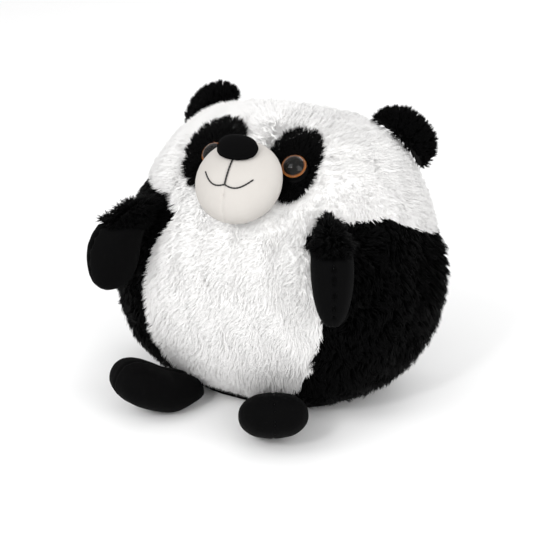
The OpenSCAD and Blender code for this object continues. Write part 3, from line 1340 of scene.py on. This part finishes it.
def threads(
    name: str, paths: Sequence[np.ndarray], radius: float, tree: BVHTree | None
) -> bpy.types.Object:
    """Twists two plies of thread along each path.

    Args:
        name: The piece's name.
        paths: The paths, as rows of points.
        radius: Half the twisted thread's width.
        tree: A surface that the thread lies on, if any.

    Returns:
        The thread, as one mesh.
    """
    curve = bpy.data.curves.new(name, "CURVE")
    curve.dimensions = "3D"
    curve.bevel_depth = radius * 0.62
    curve.bevel_resolution = 2
    curve.use_fill_caps = True
    for path in paths:
        if tree is not None:
            path = np.array([tree.find_nearest(Vector(p))[0] for p in path])
            facing = np.array([tree.find_nearest(Vector(p))[1] for p in path])
        else:
            facing = unit(path * (1, 1, 0))
        ahead = unit(np.gradient(path, axis=0))
        side = unit(np.cross(ahead, facing))
        gone = np.concatenate([[0], np.cumsum(np.linalg.norm(np.diff(path, axis=0), axis=1))])
        turn = gone / (5.5 * MM) * 2 * math.pi
        for phase in (0, math.pi):
            swing = side * np.cos(turn + phase)[:, None] + facing * np.sin(turn + phase)[:, None]
            points = path + facing * radius * 0.5 + swing * radius * 0.45
            spline = curve.splines.new("POLY")
            spline.points.add(len(points) - 1)
            flat = np.concatenate([points, np.ones((len(points), 1))], 1)
            spline.points.foreach_set("co", flat.astype(np.float32).ravel())
    cord = bpy.data.objects.new(name, curve)
    bpy.context.collection.objects.link(cord)
    activate(cord)
    bpy.ops.object.convert(target="MESH")
    bpy.ops.object.shade_smooth()
    return bpy.context.view_layer.objects.active


@dataclass
class Eye:
    """One domed eye: black plate and pupil, amber ring and clear dome, in a black patch."""

    side: Side
    shape: BodyShape
    x: float = 41 * MM
    z: float = 230 * MM
    radius: float = 11.5 * MM
    sink: float = 3.5 * MM
    plate: float = 2.5 * MM
    paint: float = 0.6 * MM
    pupil: float = 8.3 * MM
    post: float = 3 * MM
    post_l: float = 15 * MM
    dome: float = 7 * MM
    patch_in: float = 3 * MM
    patch_drop: float = 3 * MM
    patch_lean: float = 3 * MM
    patch_wide: float = 24 * MM
    patch_up: float = 24 * MM
    patch_down: float = 30 * MM
    patch_wider: tuple = (-1 * MM, 6 * MM)

    def __post_init__(self) -> None:
        """Finds the eye's place and axis on the face."""
        n = self.shape.front_normal(self.x, self.z)
        at = np.array([self.x, float(self.shape.front_y(self.x, self.z)), self.z]) - n * self.sink
        flip = np.array([self.side.value, 1, 1])
        self.axis = Vector(n * flip)
        self.centre = Vector(at * flip)

    def stood(self, thing: bpy.types.Object) -> bpy.types.Object:
        """Stands a piece that was made at the origin on the eye's axis.

        Args:
            thing: The piece.

        Returns:
            The same piece.
        """
        turn = self.axis.to_track_quat("Z", "Y").to_matrix().to_4x4()
        thing.data.transform(Matrix.Translation(self.centre) @ turn)
        thing.data.update()
        return thing

    def build(self, palette: Palette) -> None:
        """Makes the eye's moulded pieces.

        Args:
            palette: The finishes.
        """
        word = self.side.word
        base = finish_piece(
            self.base(), palette.eye_black, "torso", [f"eye_base_{word}"]
        )
        base.name = f"eye_plate_{word}"
        centre = self.centre + self.axis * (self.plate + self.paint)
        amber = IrisFinish(f"iris_{word}", tuple(centre), self.pupil, self.radius).material()
        finish_piece(self.iris(), amber, "torso", [f"eye_iris_{word}"])
        finish_piece(self.lens(), palette.eye_clear, "torso", [f"eye_lens_{word}"])
        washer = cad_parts[f"eye_washer_{word}"]
        washer.data.materials.clear()
        washer.data.materials.append(palette.washer)

    def base(self) -> bpy.types.Object:
        """The rounded plate with its raised pupil and its post.

        Returns:
            The piece.
        """
        bpy.ops.object.select_all(action="DESELECT")
        bpy.ops.mesh.primitive_cylinder_add(
            vertices=96, radius=self.radius, depth=self.plate, location=(0, 0, self.plate / 2)
        )
        plate = bpy.context.object
        plate.name = f"eye_plate_{self.side.word}"
        bpy.ops.object.transform_apply(location=True)
        self.extruded(plate, 1, self.radius - self.pupil, self.paint)
        self.extruded(plate, -1, self.radius - self.post, self.post_l)
        applied(plate, "BEVEL", width=0.25 * MM, segments=3, limit_method="ANGLE")
        activate(plate)
        bpy.ops.object.shade_smooth_by_angle(angle=math.radians(40))
        return self.stood(plate)

    @staticmethod
    def extruded(thing: bpy.types.Object, way: int, inset: float, length: float) -> None:
        """Insets the end face that looks up or down and draws it out.

        Args:
            thing: The piece.
            way: 1 for the upper end and -1 for the lower.
            inset: How far the face shrinks.
            length: How far it is drawn out.
        """
        faces = thing.data.polygons
        ends = [f for f in faces if f.normal.z * way > 0.99]
        last = max(ends, key=lambda f: f.center.z * way).index
        choose(thing, np.arange(len(faces)) == last)
        with editing(thing, None):
            bpy.ops.mesh.inset(thickness=inset)
            bpy.ops.mesh.extrude_region_move(
                TRANSFORM_OT_translate={"value": (0, 0, way * length)}
            )

    def iris(self) -> bpy.types.Object:
        """The painted ring, which dips a little towards the pupil.

        Returns:
            The piece.
        """
        bpy.ops.object.select_all(action="DESELECT")
        bpy.ops.mesh.primitive_circle_add(
            vertices=96, radius=self.radius - 0.6 * MM, fill_type="NGON",
            location=(0, 0, self.plate + self.paint * 0.8),
        )
        ring = bpy.context.object
        ring.name = f"eye_ring_{self.side.word}"
        bpy.ops.object.transform_apply(location=True)
        with editing(ring):
            bpy.ops.mesh.inset(thickness=(self.radius - self.pupil) / 2)
            bpy.ops.mesh.inset(thickness=(self.radius - self.pupil) / 2 - 0.65 * MM)
            bpy.ops.mesh.delete(type="ONLY_FACE")
        points = places(ring)
        inner = np.hypot(points[:, 0], points[:, 1]) < self.pupil + 0.5 * MM
        points[inner, 2] -= 0.08 * MM
        put(ring, points)
        applied(ring, "SOLIDIFY", thickness=0.25 * MM, offset=-1.0)
        return self.stood(ring)

    def lens(self) -> bpy.types.Object:
        """The clear dome: a slice of a ball with a rounded rim.

        Returns:
            The piece.
        """
        ball = (self.radius**2 + self.dome**2) / (2 * self.dome)
        low = self.plate + self.paint * 0.5
        bpy.ops.object.select_all(action="DESELECT")
        bpy.ops.mesh.primitive_uv_sphere_add(
            segments=96, ring_count=96, radius=ball,
            location=(0, 0, self.plate + self.paint + self.dome - ball)
        )
        dome = bpy.context.object
        dome.name = f"eye_dome_{self.side.word}"
        bpy.ops.object.transform_apply(location=True)
        with editing(dome):
            bpy.ops.mesh.bisect(
                plane_co=(0, 0, low), plane_no=(0, 0, 1), clear_inner=True, use_fill=True
            )
        applied(dome, "BEVEL", width=0.3 * MM, segments=3, limit_method="ANGLE")
        activate(dome)
        bpy.ops.object.shade_smooth_by_angle(angle=math.radians(30))
        return self.stood(dome)

    def in_patch(self, points: np.ndarray, grow: float = 0.0) -> np.ndarray:
        """Which points lie on the black patch.

        Args:
            points: Rows of points on the face.
            grow: How much further the patch reaches.

        Returns:
            True or False for each point.
        """
        wider = self.patch_wider[self.side is Side.RIGHT]
        x = points[:, 0] * self.side.value - (self.x - self.patch_in + wider)
        z = points[:, 2] - (self.z - self.patch_drop)
        tall = np.where(z > 0, self.patch_up, self.patch_down) + grow
        x = x + self.patch_lean * z / tall
        wide = (self.patch_wide + grow + abs(wider)) * (1 + 0.1 * z / tall)
        return ((x / wide) ** 2 + (z / tall) ** 2 < 1) & (points[:, 1] < 0.05)

    def beside(self, points: np.ndarray) -> np.ndarray:
        """Each point's distance from the eye's axis.

        Args:
            points: Rows of three numbers.

        Returns:
            One distance for each point.
        """
        d = points - np.array(self.centre)
        n = np.array(self.axis)
        return np.linalg.norm(d - np.outer(d @ n, n), axis=1)


@dataclass
class Torso:
    """Head and belly in one: the filling, the sewn cover and its pile."""

    palette: Palette
    shape: BodyShape = field(default_factory=BodyShape)
    muzzle: Muzzle = field(default_factory=Muzzle)
    pile: float = 7.0 * MM
    backing: float = 1.4 * MM

    def __post_init__(self) -> None:
        """Makes the two eyes, which the cover's pile leaves room for."""
        self.eyes = [Eye(side, self.shape) for side in Side]

    def build(self) -> None:
        """Makes the torso's pieces."""
        form = SoftForm("body_filling", ["body_stuffing"], 6 * MM, 1.0 * MM, 1.8 * MM, 6)
        filling = form.build()
        cover = copied(filling, "cover")
        finish_piece(filling, self.palette.filling, "torso", ["body_stuffing"])
        put(cover, places(cover) + normals(cover) * 2.6 * MM)
        away = nearness(self.shape.seam_lines())
        pinched(cover, lambda p: np.maximum(away(p) - self.pile, 0), 2.2 * MM, 6 * MM)
        for panel in Panel:
            self.sew(cover, panel, away)
        self.sew_patches(cover)
        bpy.data.objects.remove(cover)
        self.sew_base()
        self.muzzle.build(self.palette)
        for eye in self.eyes:
            eye.build(self.palette)
        self.close_back()
        self.sew_label()

    def piece_of(self, cover: bpy.types.Object, name: str, keep: Field) -> bpy.types.Object:
        """Cuts a piece out of the cover.

        Args:
            cover: The whole cover.
            name: The piece's name.
            keep: Says which faces stay, from their middles.

        Returns:
            The open piece.
        """
        piece = copied(cover, name)
        middle = np.empty(len(piece.data.polygons) * 3)
        piece.data.polygons.foreach_get("center", middle)
        choose(piece, ~keep(middle.reshape(-1, 3)))
        with editing(piece, None):
            bpy.ops.mesh.delete(type="FACE")
        return piece

    def comb(self, points: np.ndarray) -> np.ndarray:
        """The way the body's pile is brushed: outwards over the crown, then down.

        Args:
            points: Rows of three numbers.

        Returns:
            A direction for each point.
        """
        lift = self.shape.read(points)[1]
        outward = points * (1, 1, 0)
        high = np.clip((lift - 25) / 50, 0, 1)[:, None]
        return unit(outward) * (0.15 + high) + np.array([0, 0, -1.0]) * (1 - 0.7 * high)

    def brushed_face(self, points: np.ndarray) -> np.ndarray:
        """The face's pile runs away from the muzzle and then with the body's.

        Args:
            points: Rows of three numbers.

        Returns:
            A direction for each point.
        """
        away = points - self.muzzle.middle
        near = np.exp(-((self.muzzle.depth_in(points) - 1) / 0.6) ** 2)[:, None]
        return unit(self.comb(points)) + 0.5 * near * unit(away)

    def bare(self, points: np.ndarray) -> np.ndarray:
        """Which places of the face carry white pile: not under muzzle, patches or eyes.

        Args:
            points: Rows of three numbers.

        Returns:
            True or False for each point.
        """
        keep = self.muzzle.depth_in(points) > 0.93
        for eye in self.eyes:
            keep &= ~eye.in_patch(points, -6.0 * MM)
        return keep

    def sew(self, cover: bpy.types.Object, panel: Panel, away: Field) -> None:
        """Makes a panel's cloth and grows its pile.

        Args:
            cover: The whole cover.
            panel: Which panel.
            away: Gives each point's distance from the seams.
        """
        number, node, tone = panel.value
        cloth = self.piece_of(cover, f"{node}_cloth", lambda p: self.shape.panel_of(p) == number)
        white = tone == "white"
        curved = not white and panel is not Panel.BACK
        pile = replace(
            WHITE_PILE if white else BLACK_PILE,
            curved=curved,
            most=CURVED_MOST if curved else Pile.most,
            seed=10 + number,
        )
        on_face = panel is Panel.FACE
        fur = pile.grow(
            node.replace("panel", "fur"),
            cloth,
            self.brushed_face if on_face else self.comb,
            lambda p: (self.shape.panel_of(p) == number) & (self.bare(p) if on_face else True),
            lambda p: 0.72 + 0.28 * np.clip((away(p) - self.pile) / (7 * MM), 0, 1),
        )
        palette = self.palette
        walled(cloth, self.backing)
        finish_piece(
            cloth, palette.white_cloth if white else palette.black_cloth, "torso", [node]
        )
        finish_piece(fur, palette.white_fur if white else palette.black_fur, "torso")

    def sew_patches(self, cover: bpy.types.Object) -> None:
        """Makes the black patch round each eye, with long pile that sprays outwards.

        Args:
            cover: The whole cover.
        """
        for eye in self.eyes:
            word = eye.side.word
            cloth = self.piece_of(
                cover, f"patch_cloth_{word}", lambda p: eye.in_patch(p, -5.5 * MM) & (p[:, 1] < 0)
            )
            put(cloth, places(cloth) + normals(cloth) * 0.5 * MM)
            centre = np.array(eye.centre)

            def spray(points: np.ndarray) -> np.ndarray:
                """Away from the eye."""
                return points - centre

            fur = PATCH_PILE.grow(
                f"patch_fur_{word}",
                cloth,
                spray,
                lambda p: (eye.beside(p) > 11.2 * MM) & (self.muzzle.depth_in(p) > 0.98),
                lambda p: np.clip(0.55 + (eye.beside(p) - 11 * MM) / (20 * MM), 0.5, 1.05),
            )
            walled(cloth, self.backing)
            node = f"eye_patch_{word}"
            finish_piece(cloth, self.palette.black_cloth, "torso", [node])
            finish_piece(fur, self.palette.black_fur, "torso")

    def sew_base(self) -> None:
        """Makes the flat oval that the panda sits on."""
        base = SoftForm("base_cloth", ["base_panel"], 2.2 * MM, 0.2 * MM, 0.3 * MM, 2, 0).build()
        points = places(base)
        points[:, 2] = np.maximum(points[:, 2], 0.05 * MM)
        put(base, points)
        finish_piece(
            base, self.palette.black_velour, "torso", ["base_panel"]
        )

    def close_back(self) -> None:
        """Sews the hand-made closing low on the back."""
        paths = []
        for number in range(10):
            turn = np.linspace(178.4, 181.6, 12)
            rise = -46 + number * 2.6 + np.linspace(0, 0.5, 12)
            path = self.shape.at(turn, rise, -1.8 * MM)
            path[:, 1] -= 1.4 * MM * np.abs(np.linspace(-1, 1, 12)) ** 3
            paths.append(path)
        stitches = threads("closing_thread", paths, 0.6 * MM, None)
        finish_piece(stitches, self.palette.thread, "torso", ["closing_stitch"])

    def sew_label(self) -> None:
        """Hangs the plain ribbon label from the flank's seam."""
        rows, cols = 24, 16
        turn, lift = np.meshgrid(np.linspace(128, 140, cols), np.linspace(-44, -28, rows))
        points = self.shape.at(turn.ravel(), lift.ravel(), 1.5 * MM)
        wave = 0.5 * MM * np.sin(np.linspace(0, 5, cols))
        sewn = np.repeat(np.linspace(0, 1, rows) ** 2 * 6 * MM, cols)
        points += unit(points * (1, 1, 0)) * (np.tile(wave, rows) - sewn)[:, None]
        n = np.arange(rows * cols).reshape(rows, cols)
        a, b, c, d = n[:-1, :-1].ravel(), n[:-1, 1:].ravel(), n[1:, 1:].ravel(), n[1:, :-1].ravel()
        faces = np.concatenate([np.stack([a, b, c], 1), np.stack([a, c, d], 1)])
        label = mesh_object("label_ribbon", points, faces)
        applied(label, "SOLIDIFY", thickness=0.35 * MM, offset=0.0)
        finish_piece(label, self.palette.ribbon, "torso", ["care_label"])


# ---------------------------------------------------------------- limbs


def swung(v: Sequence[float], turn: float) -> np.ndarray:
    """A vector turned outwards about +Z, in degrees."""
    c, s = math.cos(math.radians(turn)), math.sin(math.radians(turn))
    return np.array([v[0] * c - v[1] * s, v[0] * s + v[1] * c, v[2]])


@dataclass
class Limb:
    """A pair of limbs that are modelled once, on the left, and copied to the right."""

    palette: Palette
    shape: BodyShape = field(default_factory=BodyShape)
    raised: float = 0.0
    hinge: tuple[float, float, float] = (0.0, 0.0, 0.0)
    turn: float = 0.0
    bend_from: tuple[float, float] = (0.0, 0.0)
    bend_to: tuple[float, float] = (0.0, 0.0)
    reach: float = 0.0

    def ahead(self) -> np.ndarray:
        """The way the left limb points, level with the floor."""
        return swung((0, -1, 0), self.turn)

    def bend(self, side: Side) -> np.ndarray:
        """The two ends of one limb's cloth hinge.

        Args:
            side: Which limb of the pair.

        Returns:
            Two rows: the end at the torso and the end at the limb.
        """
        raised = self.raised if side is Side.LEFT else 0.0
        ends = [
            np.array(self.hinge) + self.ahead() * out + np.array([0, 0, up + raised])
            for out, up in (self.bend_from, self.bend_to)
        ]
        return np.array(ends) * (side.value, 1, 1)

    def rooted(self, form: bpy.types.Object, start: float, span: float, low: float) -> None:
        """Draws a limb's root back into the torso, where its edge is sewn in.

        Args:
            form: The left limb's form.
            start: How far out from the hinge the drawing begins.
            span: Over which distance it grows to the full reach.
            low: The height under which nothing is drawn.
        """
        points = places(form)
        out = (points - np.array(self.hinge)) @ self.ahead()
        draw = self.reach * eased((start - out) / span) * eased((points[:, 2] - low) / (10 * MM))
        put(form, points - np.outer(draw, self.ahead()))

    def both(
        self,
        piece: bpy.types.Object,
        name: str,
        material: bpy.types.Material,
        limb: str,
        slot: str,
        nodes: Sequence[str] = (),
        fill: float | None = None,
        bends: bool = False,
    ) -> None:
        """Finishes a left piece and its copy on the right.

        Args:
            piece: The left piece.
            name: The start of both names.
            material: The finish.
            limb: The start of the CAD bodies' names.
            slot: Not used.
            nodes: The starts of the replaced nodes' names.
            fill: Not used.
            bends: Whether it crosses the joint.
        """
        twin = mirrored(piece, f"{name}_right")
        put(piece, places(piece) + (0, 0, self.raised))
        piece.name = f"{name}_left"
        for side, thing in ((Side.LEFT, piece), (Side.RIGHT, twin)):
            finish_piece(
                thing, material, f"{limb}_{side.word}",
                [f"{node}_{side.word}" for node in nodes],
                self.bend(side) if bends else None,
            )


@dataclass
class Arms(Limb):
    """Two arms: a fur sleeve over a velour paw in two halves."""

    raised: float = 10.0 * MM
    hinge: tuple[float, float, float] = (87 * MM, -79 * MM, 186 * MM)
    turn: float = 30.0
    bend_from: tuple[float, float] = (-4 * MM, 8 * MM)
    bend_to: tuple[float, float] = (8 * MM, -12 * MM)
    reach: float = 21 * MM
    cuff: float = 170.5 * MM
    tuck: float = 5.6 * MM

    def build(self) -> None:
        """Makes both arms."""
        palette = self.palette
        filling = SoftForm("arm_filling", ["arm_stuffing_left"], 3 * MM, 0.3 * MM, 0.6 * MM)
        self.both(
            filling.build(), "arm_filling", palette.filling, "arm", "filling",
            ["arm_stuffing"], 0.7, True,
        )
        parts = ["arm_stuffing_left", "arm_sleeve_left", "paw_inner_left", "paw_outer_left"]
        form = SoftForm("arm_form", parts, 2.4 * MM, 0.4 * MM, 1.3 * MM, 3).build()
        points = places(form)
        rise = eased((points[:, 2] - self.cuff + 3 * MM) / (6 * MM))
        put(form, points - normals(form) * (self.tuck * rise)[:, None])
        root = np.array([91 * MM, float(self.shape.front_y(91 * MM, 168 * MM)), 168 * MM])
        across = swung((1, 0, 0), self.turn)
        self.rooted(form, 30 * MM, 26 * MM, 172 * MM)
        scored(form, root, across, 1.8 * MM)
        pinched(form, lambda p: np.abs((p - root) @ across), 0.9 * MM, 1.8 * MM)
        paw = cut(form, (0, 0, self.cuff), (0, 0, -1), "paw")
        for word, sign in (("inner", -1), ("outer", 1)):
            half = cut(paw, root, across * sign, f"paw_{word}")
            walled(half, 1.6 * MM)
            self.both(
                half, f"paw_{word}_velour", palette.black_velour, "arm", "black_velour",
                [f"paw_{word}"], 0.7,
            )
        sleeve = cut(form, (0, 0, self.cuff), (0, 0, 1), "sleeve")
        ahead = self.ahead()

        def comb(p: np.ndarray) -> np.ndarray:
            """Off the arm's middle line and down over the paw."""
            off = unit((p - root - ahead * 30 * MM) * (1, 1, 0))
            return ahead * 0.3 + off * 0.8 + np.array([0, 0, -0.65])

        fur = SLEEVE_PILE.grow("sleeve_fur", sleeve, comb)
        walled(sleeve, 1.4 * MM)
        self.both(
            sleeve, "sleeve_cloth", palette.black_cloth, "arm", "black_fur", ["arm_sleeve"],
            0.6, True,
        )
        self.both(fur, "sleeve_fur", palette.black_fur, "arm", "black_fur", bends=True)
        for scrap in (form, paw):
            bpy.data.objects.remove(scrap)


@dataclass
class Feet(Limb):
    """Two velour feet, each sewn from two halves along its middle."""

    hinge: tuple[float, float, float] = (53 * MM, -100 * MM, 38 * MM)
    turn: float = 31.0
    bend_from: tuple[float, float] = (-6 * MM, 0.0)
    bend_to: tuple[float, float] = (14 * MM, 0.0)
    reach: float = 15 * MM
    middle: tuple[float, float, float] = (63 * MM, -136 * MM, 26 * MM)

    def build(self) -> None:
        """Makes both feet."""
        palette = self.palette
        filling = SoftForm("foot_filling", ["foot_stuffing_left"], 3 * MM, 0.5 * MM, 0.5 * MM)
        self.both(
            filling.build(), "foot_filling", palette.filling, "foot", "filling",
            ["foot_stuffing"], 0.7, True,
        )
        parts = ["foot_stuffing_left", "foot_inner_left", "foot_outer_left"]
        form = SoftForm("foot_form", parts, 2.6 * MM, 0.2 * MM, 1.2 * MM, 3).build()
        across = swung((1, 0, 0), self.turn)
        at = np.array(self.middle)
        self.rooted(form, 22 * MM, 20 * MM, 2 * MM)
        scored(form, at, across, 1.8 * MM)
        pinched(form, lambda p: np.abs((p - at) @ across), 0.8 * MM, 1.8 * MM)
        points = places(form)
        side = (points - at) @ across / (30 * MM)
        fold = np.cos(side * 11) * np.clip(1 - side**2, 0, 1) * 0.25 * MM
        ahead = np.clip(-(points - at) @ swung((0, 1, 0), self.turn) / (36 * MM) + 0.4, 0, 1)
        points += normals(form) * (fold * ahead)[:, None]
        points[:, 2] = np.maximum(points[:, 2], FLOOR_GAP)
        put(form, points)
        for word, sign in (("inner", -1), ("outer", 1)):
            half = cut(form, at, across * sign, f"foot_{word}")
            walled(half, 1.6 * MM)
            self.both(
                half, f"foot_{word}_velour", palette.black_velour, "foot", "black_velour",
                [f"foot_{word}"], 0.7, True,
            )
        bpy.data.objects.remove(form)


@dataclass
class Ears(Limb):
    """Two round fur ears, each sewn from a front and a back."""

    middle: tuple[float, float, float] = (102 * MM, 49 * MM, 238 * MM)
    slope: float = 43.0
    back: float = 20.0
    yaw: float = 12.0
    size: float = 0.9
    bed: float = 6.0 * MM

    def build(self) -> None:
        """Makes both ears."""
        s, b = math.radians(self.slope), math.radians(self.back)
        along = swung((math.cos(s), 0, -math.sin(s)), self.yaw)
        upward = swung((math.sin(s), math.sin(b), math.cos(s)), self.yaw)
        facing = np.cross(along, upward)
        at = np.array(self.middle)
        parts = ["ear_front_left", "ear_back_left"]
        form = SoftForm("ear_form", parts, 2.0 * MM, 2.6 * MM, 0.8 * MM, 4).build()
        points = places(form)
        turn = Matrix.Rotation(math.radians(-14), 3, Vector(upward))
        points = (points - at) * self.size
        points = points + np.outer(points @ along * 0.13, along)
        points = at + points @ np.array(turn).T
        put(form, points - upward * self.bed)
        base = at - upward * 12 * MM

        def comb(points: np.ndarray) -> np.ndarray:
            """Out from the ear's root."""
            return points - base

        for word, sign in (("front", 1), ("back", -1)):
            half = cut(form, at, facing * sign, f"ear_{word}")
            fur = replace(EAR_PILE, seed=51 + sign).grow(f"ear_{word}_fur", half, comb)
            walled(half, 1.2 * MM)
            self.both(
                half, f"ear_{word}_cloth", self.palette.black_cloth, "ear", "black_fur",
                [f"ear_{word}"], 0.5,
            )
            self.both(fur, f"ear_{word}_fur", self.palette.black_fur, "ear", "black_fur")
        bpy.data.objects.remove(form)


# ---------------------------------------------------------------- studio


LAMPS = (
    ("key", (-0.8, -1.7, 1.7), 1.2, 15.5),
    ("catch", (0.0, -1.7, 1.15), 0.3, 10.0),
    ("fill", (1.9, -1.0, 1.1), 1.5, 23.0),
    ("back", (0.3, 1.8, 1.6), 1.2, 12.0),
)
SKY = 0.84
BOUNCES, DIFFUSE_BOUNCES = 32, 28  # white pile passes light on many times before it leaves


@dataclass
class Studio:
    """The pale floor, the soft lights and the camera."""

    azimuth: float = 27.94
    elevation: float = 21.82
    distance: float = 1.4614
    lens: float = 103.5
    shift: float = -12.72 * MM
    look_z: float = 106.7 * MM

    def aimed(self, thing: bpy.types.Object, target: Vector) -> None:
        """Turns a light or the camera towards a point."""
        way = target - thing.location
        thing.rotation_euler = way.to_track_quat("-Z", "Y").to_euler()

    def light(self, name: str, at: Sequence[float], size: float, power: float) -> None:
        """Adds a soft light that looks at the panda.

        Args:
            name: The light's name.
            at: Its place.
            size: Its width.
            power: Its power in watts.
        """
        data = bpy.data.lights.new(name, "AREA")
        data.size, data.energy = size, power
        lamp = bpy.data.objects.new(name, data)
        lamp.location = at
        bpy.context.collection.objects.link(lamp)
        self.aimed(lamp, Vector((0, 0, 0.1)))

    def build(self) -> None:
        """Makes the studio."""
        a, e = math.radians(self.azimuth), math.radians(self.elevation)
        back = Vector((math.sin(a) * math.cos(e), -math.cos(a) * math.cos(e), math.sin(e)))
        target = Vector((math.cos(a), math.sin(a), 0)) * self.shift + Vector((0, 0, self.look_z))
        camera = bpy.data.objects.new("camera", bpy.data.cameras.new("camera"))
        camera.data.lens, camera.data.sensor_width = self.lens, 36.0
        camera.location = target + back * self.distance
        bpy.context.collection.objects.link(camera)
        self.aimed(camera, target)
        bpy.context.scene.camera = camera
        bpy.ops.object.select_all(action="DESELECT")
        bpy.ops.mesh.primitive_plane_add(size=40.0, location=(0, 0, -FLOOR_GAP))
        floor = bpy.context.object
        floor.name = "floor"
        paper = Graph("paper", Roughness=0.9, Specular_IOR_Level=0.1)
        floor.data.materials.append(
            paper.paint(paper.blend(paper.noise(3.0), (0.90, 0.90, 0.90), (0.92, 0.92, 0.92)))
        )
        world = bpy.data.worlds.new("studio")
        world.use_nodes = True
        sky = world.node_tree.nodes["Background"].inputs
        sky[0].default_value, sky[1].default_value = (1, 1, 1, 1), SKY
        scene = bpy.context.scene
        scene.world = world
        scene.view_settings.view_transform = "Standard"
        scene.cycles.max_bounces, scene.cycles.diffuse_bounces = BOUNCES, DIFFUSE_BOUNCES
        for lamp in LAMPS:
            self.light(*lamp)


def main() -> None:
    """Builds the panda in order."""
    logging.basicConfig(level=logging.INFO, format="%(name)s %(message)s")
    palette = Palette()
    Studio().build()
    Torso(palette).build()
    for limb in (Arms(palette), Feet(palette), Ears(palette)):
        limb.build()


if __name__ == "__main__":
    main()
